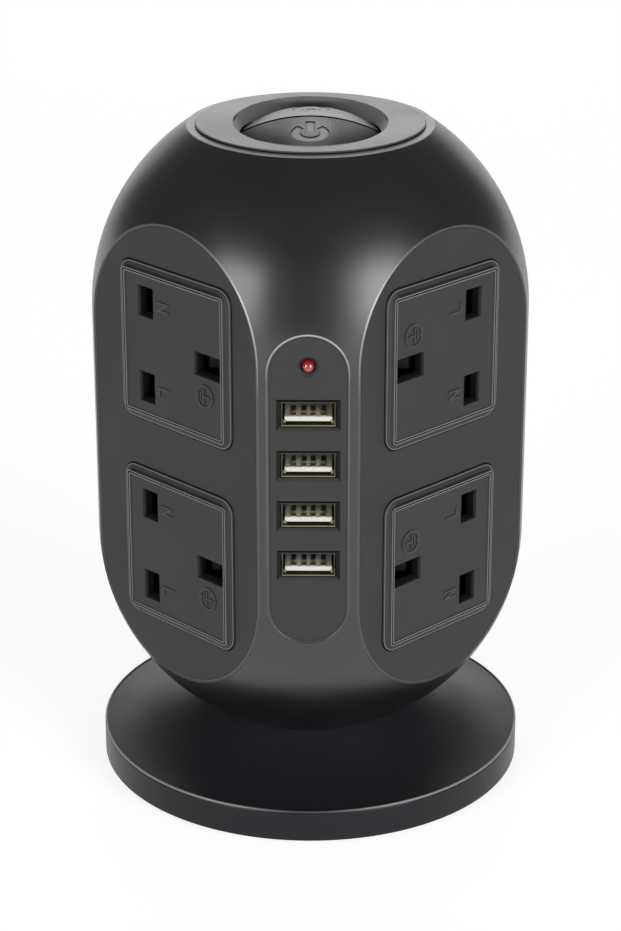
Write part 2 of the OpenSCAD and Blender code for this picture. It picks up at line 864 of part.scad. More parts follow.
lamp_l = usb_d + lamp_proud - lamp_r - lamp_back;

module usb_panel() {
    window_w = port_w + 2 * port_seam;
    window_h = port_h + 2 * port_seam;
    color([0.27, 0.27, 0.28])
        on_corner()
            difference() {
                union() {
                    stadium_plate(usb_panel_r - seam, usb_back, usb_d);
                    for (z = [post_low_z, post_high_z])
                        translate([0, z, board_front])
                            cylinder(r = post_r, h = usb_back - board_front, $fn = small_fn);
                }
                for (z = port_zs)
                    translate([0, z, 0]) {
                        sloped_hole(window_w + 2 * port_bevel, window_h + 2 * port_bevel,
                            usb_d, port_bevel_depth, port_bevel);
                        translate([0, -port_sink, 0])
                            bar(-window_w / 2, window_w / 2, -window_h / 2, window_h / 2,
                                usb_back - cut, usb_d + cut);
                    }
                translate([0, lamp_z, usb_back - cut])
                    cylinder(r = lamp_r + lamp_seam, h = usb_panel_t + 2 * cut,
                        $fn = small_fn);
                translate([0, lamp_z, usb_d - lamp_sink_h])
                    cylinder(r1 = lamp_r + lamp_seam, r2 = lamp_sink_r, h = lamp_sink_h,
                        $fn = small_fn);
                for (z = [post_low_z, post_high_z])
                    translate([0, z, board_front - cut])
                        cylinder(r = board_screw_r, h = usb_back - board_front, $fn = small_fn);
            }
}

module usb_shells() {
    color([0.72, 0.66, 0.45])
        on_corner()
            for (z = port_zs)
                translate([0, z - port_sink, 0])
                    difference() {
                        bar(-port_w / 2, port_w / 2, -port_h / 2, port_h / 2, port_back,
                            port_front);
                        bar(port_wall - port_w / 2, port_w / 2 - port_wall,
                            port_wall - port_h / 2, port_h / 2 - port_wall,
                            port_back - cut, port_front + cut);
                    }
}

module usb_tongues() {
    inner_w = port_w - 2 * port_wall - 2 * seam;
    inner_h = port_h - 2 * port_wall - 2 * seam;
    color([0.93, 0.93, 0.92])
        on_corner()
            for (z = port_zs)
                translate([0, z - port_sink, 0]) {
                    bar(-tongue_w / 2, tongue_w / 2, -tongue_low, tongue_t - tongue_low,
                        port_back + tongue_block, port_front - tongue_set_back);
                    bar(-inner_w / 2, inner_w / 2, -inner_h / 2, inner_h / 2, port_back,
                        port_back + tongue_block);
                }
}

module usb_contacts() {
    front = port_front - tongue_set_back - usb_contact_w;
    color([0.86, 0.72, 0.30])
        on_corner()
            for (z = port_zs, u = usb_contact_u)
                translate([u, z - port_sink + tongue_t - tongue_low, 0])
                    bar(-usb_contact_w / 2, usb_contact_w / 2, 0, usb_contact_t,
                        front - usb_contact_l, front);
}

module usb_board() {
    color([0.10, 0.36, 0.20])
        on_corner()
            difference() {
                bar(-board_half_w, board_half_w, post_low_z - post_r, post_high_z + post_r,
                    board_front - board_t, board_front);
                for (z = [post_low_z, post_high_z])
                    translate([0, z, board_front - board_t - cut])
                        cylinder(r = board_screw_r + contact_gap, h = board_t + 2 * cut,
                            $fn = small_fn);
            }
}

lead_r = 0.25;
lead_gap = 1.27;
chip_w = 5;
chip_h = 4;
chip_t = 1.6;
coil_r = 3;
coil_h = 3.5;

module board_parts() {
    color([0.15, 0.15, 0.16])
        on_corner() {
            for (x = [-1, 1])
                translate([x * lead_gap, lamp_z, board_front])
                    cylinder(r = lead_r, h = lamp_back - board_front, $fn = small_fn);
            for (i = [0, 2])
                translate([0, (port_zs[i] + port_zs[i + 1]) / 2, 0])
                    bar(-chip_w / 2, chip_w / 2, -chip_h / 2, chip_h / 2,
                        board_front - board_t - chip_t, board_front - board_t);
            translate([0, (port_zs[1] + port_zs[2]) / 2, board_front - board_t - coil_h])
                cylinder(r = coil_r, h = coil_h, $fn = small_fn);
        }
}

module indicator_lamp() {
    color([0.80, 0.05, 0.05])
        on_corner()
            translate([0, lamp_z, lamp_back]) {
                cylinder(r = lamp_rim_r, h = lamp_rim_h, $fn = small_fn);
                cylinder(r = lamp_r, h = lamp_l, $fn = small_fn);
                translate([0, 0, lamp_l])
                    sphere(r = lamp_r, $fn = small_fn);
            }
}

// Switch on top of the barrel
collar_z = crown_z + collar_h;
mouth_z = collar_z - mouth_depth;
mouth_lip = 0.8;
pivot_z = mouth_z - pivot_depth;
skirt_r = shell_hole_r - seam;
skirt_t = 2.4;
skirt_in = skirt_r - skirt_t;
skirt_drop = 3;
skirt_z = pivot_z - skirt_drop;
collar_edge = 0.3;
rocker_r = sqrt(pow(mouth_r - rocker_gap, 2) + pow(pivot_depth, 2));
crest_z = mouth_z + rocker_rise;
crown_curve_r = (pow(mouth_r, 2) + pow(rocker_rise, 2)) / (2 * rocker_rise);
rocker_tilt = (near_slope - far_slope) / 2;
rocker_low = 5.5;
groove_w = 1.2;
groove_depth = 1;
lug_x = 14.5;
lug_w = 2;
lug_half = 2.5;
pin_end = 19.2;
barb_r = 0.7;
barb_half = 3;

module top_collar() {
    color([0.42, 0.42, 0.43]) {
        rotate_extrude($fn = round_fn)
            polygon([
                [funnel_r, collar_z], [collar_r - collar_edge, collar_z],
                [collar_r, collar_z - collar_edge], [collar_r, crown_z],
                [skirt_r, crown_z], [skirt_r, skirt_z], [skirt_in, skirt_z],
                [skirt_in, mouth_z - mouth_depth],
                [mouth_r, mouth_z - mouth_lip], [mouth_r, mouth_z],
            ]);
        for (a = [45, 135, 225, 315])
            rotate([0, 0, a])
                intersection() {
                    rotate_extrude($fn = round_fn)
                        polygon([
                            [skirt_r - seam, crown_z - shell_wall - seam],
                            [skirt_r + barb_r, crown_z - shell_wall - seam],
                            [skirt_r - seam, crown_z - 2 * shell_wall - seam],
                        ]);
                    bar(0, barrel_r, -barb_half, barb_half, 0, crown_z);
                }
    }
}

// Everything under a face that is arched across X and slopes along Y from the crest
module crowned(slope, inset) {
    translate([0, 0, crest_z])
        rotate([slope, 0, 0])
            translate([0, 0, -crown_curve_r])
                rotate([90, 0, 0])
                    cylinder(r = crown_curve_r - inset, h = 4 * mouth_r, center = true,
                        $fn = round_fn);
}

// The outside of the rocker, drawn in at every side by inset
module rocker_form(inset) {
    reach = 2 * mouth_r;
    intersection() {
        translate([0, 0, pivot_z])
            sphere(r = rocker_r - inset, $fn = round_fn);
        crowned(near_slope, inset);
        crowned(-far_slope, inset);
        translate([0, 0, pivot_z])
            rotate([rocker_tilt, 0, 0])
                translate([-reach, -reach, rocker_low - inset])
                    cube([2 * reach, 2 * reach, reach]);
    }
}

module rocker() {
    color([0.34, 0.34, 0.35]) {
        difference() {
            rocker_form(0);
            rocker_form(rocker_wall);
            translate([-mouth_r, -groove_w / 2, 0])
                intersection() {
                    cube([2 * mouth_r, groove_w, crest_z + cut]);
                    translate([mouth_r, cut, crest_z - crown_curve_r])
                        rotate([90, 0, 0])
                            difference() {
                                cylinder(r = crown_curve_r + cut, h = 2 * cut + groove_w,
                                    center = true, $fn = round_fn);
                                cylinder(r = crown_curve_r - groove_depth,
                                    h = 4 * cut + groove_w, center = true, $fn = round_fn);
                            }
                }
        }
        for (x = [-1, 1])
            mirror([x < 0 ? 1 : 0, 0, 0]) {
                intersection() {
                    bar(lug_x, lug_x + lug_w, -lug_half, lug_half, pivot_z - lug_half, crest_z);
                    rocker_form(rocker_wall / 2);
                }
                bar(lug_x, lug_x + lug_w, -lug_half, lug_half, pivot_z - lug_half,
                    pivot_z + rocker_low + rocker_wall);
                translate([lug_x, 0, pivot_z])
                    rotate([0, 90, 0])
                        cylinder(r = axle_r, h = pin_end - lug_x, $fn = small_fn);
            }
    }
}

cup_r = skirt_in - seam;
cup_wall = 1.8;
cup_depth = 16;
cup_floor_z = pivot_z - cup_depth;
cup_floor_t = 1.6;
cup_flange_t = 2.4;
ear_gap = 0.4;
ear_x = lug_x + lug_w + ear_gap;
ear_w = 2.8;
ear_half = 4;
ear_top = 3;
arm_drop = 11;
arm_pivot_z = pivot_z - arm_drop;
knuckle_r = 1.2;
arm_pin_r = 0.6;
arm_pin_gap = 0.08;
arm_half_w = 2.5;
arm_l = 8.5;
arm_t = 0.8;
arm_ratio = 1.6;
arm_tilt = rocker_tilt * arm_ratio;
button_y = 7.3;
button_r = 1.2;
button_h = 0.6;
terminal_t = 0.8;
terminal_l = 8;
cradle_gap = 0.3;
plunger_r = 1.5;
plunger_gap = 0.3;

module switch_body() {
    color([0.12, 0.12, 0.13]) {
        difference() {
            union() {
                translate([0, 0, cup_floor_z])
                    cylinder(r = cup_r, h = skirt_z - cup_floor_z, $fn = round_fn);
                translate([0, 0, skirt_z - cup_flange_t])
                    cylinder(r = skirt_r, h = cup_flange_t, $fn = round_fn);
            }
            translate([0, 0, cup_floor_z + cup_floor_t])
                cylinder(r = cup_r - cup_wall, h = skirt_z, $fn = round_fn);
            terminal_slots();
        }
        for (x = [-1, 1])
            mirror([x < 0 ? 1 : 0, 0, 0])
                difference() {
                    intersection() {
                        bar(ear_x, ear_x + ear_w, -ear_half, ear_half,
                            skirt_z - cup_flange_t, pivot_z + ear_top);
                        cylinder(r = cup_r, h = crest_z, $fn = round_fn);
                    }
                    translate([ear_x - cut, 0, pivot_z])
                        rotate([0, 90, 0])
                            cylinder(r = axle_r + axle_gap, h = ear_w + 2 * cut,
                                $fn = small_fn);
                }
    }
}

module terminal_slots() {
    gap = tail_gap;
    for (y = [0, button_y])
        bar(-arm_half_w - gap, arm_half_w + gap, y - terminal_t / 2 - gap,
            y + terminal_t / 2 + gap, cup_floor_z - cut, cup_floor_z + cup_floor_t + cut);
}

module rocker_plunger() {
    l = pivot_z - arm_pivot_z - knuckle_r - plunger_gap;
    color([0.80, 0.80, 0.78])
        translate([0, 0, pivot_z])
            rotate([rocker_tilt, 0, 0]) {
                translate([0, 0, plunger_r - l])
                    cylinder(r = plunger_r, h = l, $fn = small_fn);
                translate([0, 0, plunger_r - l])
                    sphere(r = plunger_r, $fn = small_fn);
            }
}

module contact_arm() {
    color([0.76, 0.55, 0.35])
        translate([0, 0, arm_pivot_z])
            rotate([-arm_tilt, 0, 0])
                difference() {
                    union() {
                        rotate([0, 90, 0])
                            cylinder(r = knuckle_r, h = 2 * arm_half_w, center = true,
                                $fn = small_fn);
                        bar(-arm_half_w, arm_half_w, -arm_l, arm_l, -arm_t / 2, arm_t / 2);
                        for (y = [-1, 1])
                            translate([0, y * button_y, -arm_t / 2 - button_h])
                                cylinder(r = button_r, h = button_h, $fn = small_fn);
                    }
                    rotate([0, 90, 0])
                        cylinder(r = arm_pin_r + arm_pin_gap, h = 2 * arm_half_w + 2 * cut,
                            center = true, $fn = small_fn);
                }
}

module switch_terminals() {
    reach = button_y + terminal_t / 2;
    drop = reach * tan(arm_tilt) + (arm_t / 2 + button_h) / cos(arm_tilt) + contact_gap;
    fixed_z = arm_pivot_z - drop;
    cradle_x = arm_half_w + cradle_gap;
    color([0.80, 0.62, 0.28]) {
        bar(-arm_half_w, arm_half_w, -terminal_t / 2, terminal_t / 2,
            cup_floor_z - terminal_l, cup_floor_z + cup_floor_t + terminal_t);
        bar(-cradle_x - terminal_t, cradle_x + terminal_t, -arm_half_w / 2, arm_half_w / 2,
            cup_floor_z + cup_floor_t, cup_floor_z + cup_floor_t + terminal_t);
        for (x = [-1, 1])
            mirror([x < 0 ? 1 : 0, 0, 0])
                bar(cradle_x, cradle_x + terminal_t, -arm_half_w / 2, arm_half_w / 2,
                    cup_floor_z + cup_floor_t, arm_pivot_z + knuckle_r);
        translate([0, 0, arm_pivot_z])
            rotate([0, 90, 0])
                cylinder(r = arm_pin_r, h = 2 * (cradle_x + terminal_t), center = true,
                    $fn = small_fn);
        bar(-arm_half_w, arm_half_w, button_y - terminal_t / 2, button_y + terminal_t / 2,
            cup_floor_z - terminal_l, fixed_z);
    }
}

// Base
base_in = base_r - base_wall;
land_w = 0.6;
flare_start = base_r - rim_round - land_w;
base_plate_gap = 0.4;
base_plate_z = foot_h + base_plate_gap;
base_plate_seam = 0.3;
foot_pcr = 44;
foot_recess = 0.5;
base_screw_pcr = 38;
base_boss_r = 3.4;
base_screw_r = 1.5;
base_head_r = 2.9;
base_head_h = 1.1;
base_screw_tip = 7.4;

// Centre of a circle of radius r through two points, on the side that lies above them
function above(p, q, r) =
    let (d = q - p, l = norm(d), n = [-d[1], d[0]] / l)
    (p + q) / 2 + n * sqrt(pow(r, 2) - pow(l / 2, 2));

// Outline of the base cover, drawn in at every side by inset
module base_outline(inset) {
    low = [flare_start, rim_z];
    high = [neck_r, neck_z];
    centre = above(high, low, flare_r);
    corner_r = rim_round;
    difference() {
        polygon([
            [0, foot_h - cut], [base_r - inset, foot_h - cut],
            [base_r - inset, rim_z - inset], [flare_start, rim_z - inset],
            [flare_start, rim_z + cut], [neck_r - inset, neck_z + cut],
            [neck_r - inset, neck_z - inset], [0, neck_z - inset],
        ]);
        translate(centre)
            circle(flare_r + inset, $fn = round_fn * 3);
        difference() {
            translate([base_r - inset - corner_r, rim_z - inset - corner_r])
                square(corner_r + cut);
            translate([base_r - inset - corner_r, rim_z - inset - corner_r])
                circle(corner_r, $fn = small_fn);
        }
    }
}

module base_solid(inset) {
    rotate_extrude($fn = round_fn)
        base_outline(inset);
}

module base_screw_places() {
    for (a = [45, 135, 225, 315])
        rotate([0, 0, a])
            translate([base_screw_pcr, 0, 0])
                children();
}

module foot_places() {
    for (a = [0, 90, 180, 270])
        rotate([0, 0, a])
            translate([foot_pcr, 0, 0])
                children();
}

module base_cover() {
    plate_top = base_plate_z + base_plate_t;
    color([0.13, 0.13, 0.14])
        difference() {
            base_solid(0);
            difference() {
                base_solid(base_wall);
                translate([0, 0, plate_top])
                    base_screw_places()
                        cylinder(r = base_boss_r, h = neck_z, $fn = small_fn);
            }
            translate([-base_r, -base_r, foot_h - 2 * cut])
                cube([2 * base_r, 2 * base_r, 2 * cut]);
            base_screw_places()
                cylinder(r = base_screw_r + contact_gap, h = base_screw_tip, $fn = small_fn);
            neck_screw_places()
                cylinder(r = neck_screw_r + 2 * contact_gap, h = neck_z + cut, $fn = small_fn);
        }
}

module base_plate() {
    color([0.11, 0.11, 0.12])
        difference() {
            translate([0, 0, base_plate_z])
                cylinder(r = base_in - base_plate_seam, h = base_plate_t, $fn = round_fn);
            translate([0, 0, base_plate_z - cut])
                foot_places()
                    cylinder(r = foot_r + contact_gap, h = cut + foot_recess, $fn = small_fn);
            translate([0, 0, base_plate_z - cut])
                base_screw_places() {
                    cylinder(r = base_screw_r + contact_gap, h = base_plate_t + 2 * cut,
                        $fn = small_fn);
                    cylinder(r = base_head_r + contact_gap, h = cut + base_head_h,
                        $fn = small_fn);
                }
        }
}

module base_feet() {
    color([0.05, 0.05, 0.05])
        foot_places()
            cylinder(r = foot_r, h = base_plate_z + foot_recess, $fn = small_fn);
}

module base_screws() {
    color([0.70, 0.70, 0.72])
        base_screw_places() {
            translate([0, 0, base_plate_z])
                cylinder(r = base_head_r, h = base_head_h, $fn = small_fn);
            translate([0, 0, base_plate_z])
                cylinder(r = base_screw_r, h = base_screw_tip - base_plate_z - seam,
                    $fn = small_fn);
        }
}

module neck_screws() {
    head_z = neck_z - deck_t;
    color([0.70, 0.70, 0.72])
        neck_screw_places() {
            translate([0, 0, head_z - base_head_h])
                cylinder(r = base_head_r, h = base_head_h, $fn = small_fn);
            translate([0, 0, head_z - seam])
                cylinder(r = neck_screw_r, h = deck_t + neck_boss_h - 2 * cut,
                    $fn = small_fn);
        }
}

base_cover();
base_plate();
base_feet();
base_screws();
neck_screws();
cord_inlet();
front_shell();
rear_shell();
for (s = SIDES) {
    panel(s);
    carrier(s);
    for (l = [0, 1]) {
        socket_plate(s, l);
        shutter(s, l);
        spring(s, l);
    }
}
live_strips();
neutral_strips();
earth_strips();
carrier_screws();
usb_panel();
usb_shells();
usb_tongues();
usb_contacts();
usb_board();
board_parts();
indicator_lamp();
top_collar();
switch_body();
rocker();
rocker_plunger();
contact_arm();
switch_terminals();
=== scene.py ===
"""Finishes, raised marks, lights and camera for the tower power strip."""
import json
import math

import bmesh
import bpy
from mathutils import Matrix, Vector

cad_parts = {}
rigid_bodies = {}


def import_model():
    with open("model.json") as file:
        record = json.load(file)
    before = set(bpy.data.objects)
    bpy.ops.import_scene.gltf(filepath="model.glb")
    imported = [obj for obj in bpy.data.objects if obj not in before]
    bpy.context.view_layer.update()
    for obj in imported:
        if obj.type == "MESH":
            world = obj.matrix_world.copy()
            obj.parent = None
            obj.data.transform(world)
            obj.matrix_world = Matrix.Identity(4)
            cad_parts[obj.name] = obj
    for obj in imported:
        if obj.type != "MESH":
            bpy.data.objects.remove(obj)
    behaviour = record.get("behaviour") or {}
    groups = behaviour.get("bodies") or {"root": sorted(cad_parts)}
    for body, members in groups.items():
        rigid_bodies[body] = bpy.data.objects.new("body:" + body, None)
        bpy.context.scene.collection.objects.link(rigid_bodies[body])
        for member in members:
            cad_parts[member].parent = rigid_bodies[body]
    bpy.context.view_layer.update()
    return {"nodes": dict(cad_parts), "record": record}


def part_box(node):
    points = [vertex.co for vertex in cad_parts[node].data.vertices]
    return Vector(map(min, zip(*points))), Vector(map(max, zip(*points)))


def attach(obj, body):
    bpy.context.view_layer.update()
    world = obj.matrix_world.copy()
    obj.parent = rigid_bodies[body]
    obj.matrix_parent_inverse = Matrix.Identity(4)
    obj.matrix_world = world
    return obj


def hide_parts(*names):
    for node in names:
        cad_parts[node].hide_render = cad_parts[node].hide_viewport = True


for spare in list(bpy.data.objects):
    bpy.data.objects.remove(spare, do_unlink=True)
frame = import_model()

MM = 0.001
LEVELS = ("lower", "upper")
# Which way each socket flat faces, and which way lies towards its earth holes
FACES = {"front_left": (-1, -1), "front_right": (1, -1), "rear_right": (1, 1), "rear_left": (-1, 1)}
EARTHWARD = {"front_left": (1, -1), "front_right": (-1, -1), "rear_right": (-1, 1), "rear_left": (1, 1)}

# The photograph's frame in pixels, and the camera that was fitted to it
PHOTO_W = 621
PHOTO_H = 931
FOCAL_PX = 2694
CAMERA_PLACE = (6.2 * MM, -650.9 * MM, 347.7 * MM)
CAMERA_DIP = 22.28
CAMERA_TURN = 0.545
FILM_W = 36.0

# Socket plates: their face lies below the rim, and their marks stand proud of the face
PLATE_DROP = 0.2 * MM
CAD_PLATE_DROP = 0.7 * MM
SLOPE_FOOT = 0.95 * MM
SLOPE_DRAWN = 0.45 * MM
MARK_RISE = 0.22 * MM
MARK_SINK = 0.1 * MM
MARK_EDGE = 0.08 * MM
LETTER_TALL = 4.2 * MM
LETTER_WIDE = 2.6 * MM
STROKE = 0.66 * MM
LETTER_UP = -2.4 * MM
LETTER_ASIDE = 11.1 * MM
EARTH_RING_R = 3.0 * MM
EARTH_STROKE = 0.5 * MM
EARTH_UP = 12.4 * MM
EARTH_ASIDE = 7.9 * MM

# Charging ports
PORT_COUNT = 4
PORT_TALL = 5.7 * MM
PORT_WALL = 0.35 * MM
PAD_PLACES = (-3.6 * MM, -1.1 * MM, 1.1 * MM, 3.6 * MM)
PAD_WIDE = 1.35 * MM
PAD_RISE = 0.22 * MM
PAD_FRONT = 0.2 * MM
PAD_LONG = 2.4 * MM
TIP_WIDE = 1.0 * MM
TIP_FRONT = 2.9 * MM
TIP_LONG = 1.1 * MM
SLOT_FRONT = 4.4 * MM
SLOT_LONG = 3.0 * MM
SLOT_WIDE = 1.15 * MM
SKIN = 0.05 * MM

# Bead round the charging port flat
LOW_DOME_Z = 66 * MM
HIGH_DOME_Z = 126.5 * MM
BEAD_R = 0.25 * MM
BEAD_PROUD = 0.15 * MM
BEAD_OUT = 0.62 * MM
BEAD_SHIFT = -0.1 * MM

FLAT_D = 46.82 * MM
LIP_W = 0.7 * MM
FLAT_BEAD_R = 0.27 * MM
FLAT_BEAD_PROUD = 0.14 * MM

# Pale line along the sharp upper edge of the base's rim, coloured as a painted highlight
RIM_Z = 9.2 * MM
RIM_LINE_R = 0.3 * MM
RIM_LINE_SINK = 0.08 * MM

# Bezels
SOCKET_SHIFT = 1.0 * MM
BEZEL_W = 39.8 * MM
BEZEL_H = 41.0 * MM
BEZEL_CORNER_R = 4.0 * MM
BEZEL_RISE = 1.3 * MM
BEZEL_STEP = 0.3 * MM
STEP_SLOPE = 0.15 * MM
PLATE_W = 35.2 * MM
PLATE_H = 36.2 * MM
PLATE_SEAM = 0.15 * MM
CREST_W = 0.28 * MM
EDGE_W = 0.28 * MM
SEAM_SPREAD = 0.10 * MM
SHADOW_W = 0.3 * MM
SHELL_SET_BACK = 1.4 * MM
LIP_TALL = 0.8 * MM
RECESS_REACH = 5.5 * MM

# Collar
COLLAR_R = 28.7 * MM
COLLAR_H = 0.9 * MM
CROWN_R = 30.9 * MM
FUNNEL_R = 20.5 * MM
OPENING_X = 19.3 * MM
OPENING_Y = 24.2 * MM
FLANGE_H = 0.25 * MM

# Rocker
MOUTH_R = 17.6 * MM
CREST_RISE = 4.1 * MM
ARCH_R = (MOUTH_R ** 2 + CREST_RISE ** 2) / (2 * CREST_RISE)
GROOVE_W = 1.2 * MM
GROOVE_DEPTH = 1.0 * MM
NEAR_SLOPE = math.radians(16)
FAR_SLOPE = math.radians(-6)
NEAR_BELLY = 0.35 * MM
ROCKER_TRIM = 0.985
SYMBOL_DEPTH = 0.45 * MM
NEAR_FILL = 0.12 * MM
FAR_FILL = 0.34 * MM
SYMBOL_R = 4.85 * MM
SYMBOL_INNER_R = 2.45 * MM
SYMBOL_SQUASH = 0.88
SYMBOL_OPENING = math.radians(78)
BAR_WIDE = 2.4 * MM
BAR_LONG = 5.2 * MM
BAR_REACH = 5.4 * MM
NEAR_SYMBOL_Y = -8.45 * MM
FAR_SYMBOL_Y = 11.6 * MM


# Studio

def make_camera():
    data = bpy.data.cameras.new("camera")
    data.sensor_fit = "AUTO"
    data.sensor_width = FILM_W
    data.lens = FOCAL_PX / PHOTO_H * FILM_W
    data.clip_start = 0.01
    data.clip_end = 50.0
    camera = bpy.data.objects.new("camera", data)
    camera.location = CAMERA_PLACE
    camera.rotation_euler = (math.radians(90.0 - CAMERA_DIP), 0.0, math.radians(CAMERA_TURN))
    bpy.context.scene.collection.objects.link(camera)
    bpy.context.scene.camera = camera


def softbox(name, azimuth, elevation, distance, wide, tall, radiance):
    """A rectangular lamp that faces the middle of the tower."""
    data = bpy.data.lights.new(name, "AREA")
    data.shape = "RECTANGLE"
    data.size = wide
    data.size_y = tall
    data.energy = radiance * wide * tall * math.pi
    lamp = bpy.data.objects.new(name, data)
    turn, rise = math.radians(azimuth), math.radians(elevation)
    away = Vector((math.sin(turn) * math.cos(rise), -math.cos(turn) * math.cos(rise), math.sin(rise)))
    target = Vector((0.0, 0.0, 90 * MM))
    lamp.location = target + away * distance
    lamp.rotation_euler = away.to_track_quat("Z", "Y").to_euler()
    bpy.context.scene.collection.objects.link(lamp)


def add(tree, kind, **values):
    """A new node with its sockets and settings filled in by name."""
    made = tree.nodes.new(kind)
    for name, value in values.items():
        socket = made.inputs.get(name.replace("_", " "))
        if socket is not None:
            socket.default_value = value
        else:
            setattr(made, name, value)
    return made


def make_floor():
    bm = bmesh.new()
    bmesh.ops.create_grid(bm, x_segments=1, y_segments=1, size=4.0)
    mesh = bpy.data.meshes.new("floor")
    bm.to_mesh(mesh)
    bm.free()
    floor = bpy.data.objects.new("floor", mesh)
    bpy.context.scene.collection.objects.link(floor)
    paper = bpy.data.materials.new("white_paper")
    paper.use_nodes = True
    tree = paper.node_tree
    tree.nodes.clear()
    path = add(tree, "ShaderNodeLightPath")
    seen = add(tree, "ShaderNodeMath", operation="MAXIMUM")
    seen_too = add(tree, "ShaderNodeMath", operation="MAXIMUM")
    lit = add(tree, "ShaderNodeBsdfDiffuse", Color=(0.80, 0.80, 0.80, 1.0))
    shade = add(tree, "ShaderNodeBsdfDiffuse", Color=(0.34, 0.34, 0.34, 1.0))
    glow = add(tree, "ShaderNodeEmission", Color=(1.0, 1.0, 1.0, 1.0), Strength=0.82)
    both = add(tree, "ShaderNodeAddShader")
    mix = add(tree, "ShaderNodeMixShader")
    out = add(tree, "ShaderNodeOutputMaterial")
    link = tree.links.new
    link(path.outputs["Is Camera Ray"], seen.inputs[0])
    link(path.outputs["Is Glossy Ray"], seen.inputs[1])
    link(seen.outputs[0], seen_too.inputs[0])
    link(path.outputs["Is Transmission Ray"], seen_too.inputs[1])
    link(shade.outputs[0], both.inputs[0])
    link(glow.outputs[0], both.inputs[1])
    link(seen_too.outputs[0], mix.inputs[0])
    link(lit.outputs[0], mix.inputs[1])
    link(both.outputs[0], mix.inputs[2])
    link(mix.outputs[0], out.inputs["Surface"])
    mesh.materials.append(paper)


def make_studio():
    scene = bpy.context.scene
    scene.view_settings.view_transform = "Standard"
    world = bpy.data.worlds.new("studio")
    world.use_nodes = True
    world.node_tree.nodes["Background"].inputs["Color"].default_value = (0.98, 0.99, 1.0, 1.0)
    world.node_tree.nodes["Background"].inputs["Strength"].default_value = 0.15
    scene.world = world
    make_floor()
    softbox("softbox_left", -42, 15.5, 1.6, 0.76, 0.98, 5.6)
    softbox("softbox_right", 42, 15.5, 1.6, 0.76, 0.98, 8.0)
    softbox("softbox_back", 180, 18, 1.8, 1.15, 0.50, 1.95)
    softbox("softbox_crest", 180, 49, 1.8, 0.45, 0.45, 4.0)
    softbox("backdrop_glow", 180, 6, 2.4, 3.0, 1.0, 0.8)


# Finishes

def moulding(name, colour, roughness, specular=0.5, grain=0.35, grain_depth=0.012,
             spread=0.10, edge=0.35, wear_and_highlight=0.25):
    """Moulded plastic: fine spark grain, slightly uneven gloss, softened edges paled partly by rubbing and
    partly as a painted edge highlight.
    """
    material = bpy.data.materials.new(name)
    material.use_nodes = True
    tree = material.node_tree
    link = tree.links.new
    shader = tree.nodes["Principled BSDF"]
    shader.inputs["Specular IOR Level"].default_value = specular
    place = add(tree, "ShaderNodeTexCoord")

    soft_edge = add(tree, "ShaderNodeBevel", samples=6, Radius=edge * MM)
    spark = add(tree, "ShaderNodeTexNoise", Scale=1.0 / (grain * MM), Detail=2.0, Roughness=0.6)
    bump = add(tree, "ShaderNodeBump", Strength=0.6, Distance=grain_depth * MM)
    link(place.outputs["Object"], spark.inputs["Vector"])
    link(spark.outputs["Fac"], bump.inputs["Height"])
    link(soft_edge.outputs["Normal"], bump.inputs["Normal"])
    link(bump.outputs["Normal"], shader.inputs["Normal"])

    patches = add(tree, "ShaderNodeTexNoise", Scale=45.0, Detail=4.0, Roughness=0.55)
    gloss = add(tree, "ShaderNodeMapRange")
    gloss.inputs["From Min"].default_value = 0.3
    gloss.inputs["From Max"].default_value = 0.7
    gloss.inputs["To Min"].default_value = roughness - 0.04
    gloss.inputs["To Max"].default_value = roughness + 0.04
    link(place.outputs["Object"], patches.inputs["Vector"])
    link(patches.outputs["Fac"], gloss.inputs["Value"])
    link(gloss.outputs["Result"], shader.inputs["Roughness"])

    tones = add(tree, "ShaderNodeValToRGB")
    tones.color_ramp.elements[0].position = 0.3
    tones.color_ramp.elements[1].position = 0.7
    tones.color_ramp.elements[0].color = (*(c * (1 - spread) for c in colour), 1.0)
    tones.color_ramp.elements[1].color = (*(c * (1 + spread) for c in colour), 1.0)
    link(spark.outputs["Fac"], tones.inputs["Fac"])

    # Edges are paled where the softened normal turns from the true face: part abrasion, part painted highlight
    # along every edge.
    true_face = add(tree, "ShaderNodeNewGeometry")
    turned = add(tree, "ShaderNodeVectorMath", operation="DOT_PRODUCT")
    rub_and_highlight = add(tree, "ShaderNodeMapRange")
    rub_and_highlight.inputs["From Min"].default_value = 0.995
    rub_and_highlight.inputs["From Max"].default_value = 0.90
    rub_and_highlight.inputs["To Min"].default_value = 0.0
    rub_and_highlight.inputs["To Max"].default_value = wear_and_highlight
    worn_and_highlit = add(tree, "ShaderNodeMix", data_type="RGBA")
    pale = tuple(min(1.0, c * 2.2 + 0.02) for c in colour)
    worn_and_highlit.inputs["B"].default_value = (*pale, 1.0)
    link(soft_edge.outputs["Normal"], turned.inputs[0])
    link(true_face.outputs["Normal"], turned.inputs[1])
    link(turned.outputs["Value"], rub_and_highlight.inputs["Value"])
    link(rub_and_highlight.outputs["Result"], worn_and_highlit.inputs["Factor"])
    link(tones.outputs["Color"], worn_and_highlit.inputs["A"])
    link(worn_and_highlit.outputs["Result"], shader.inputs["Base Color"])
    return material


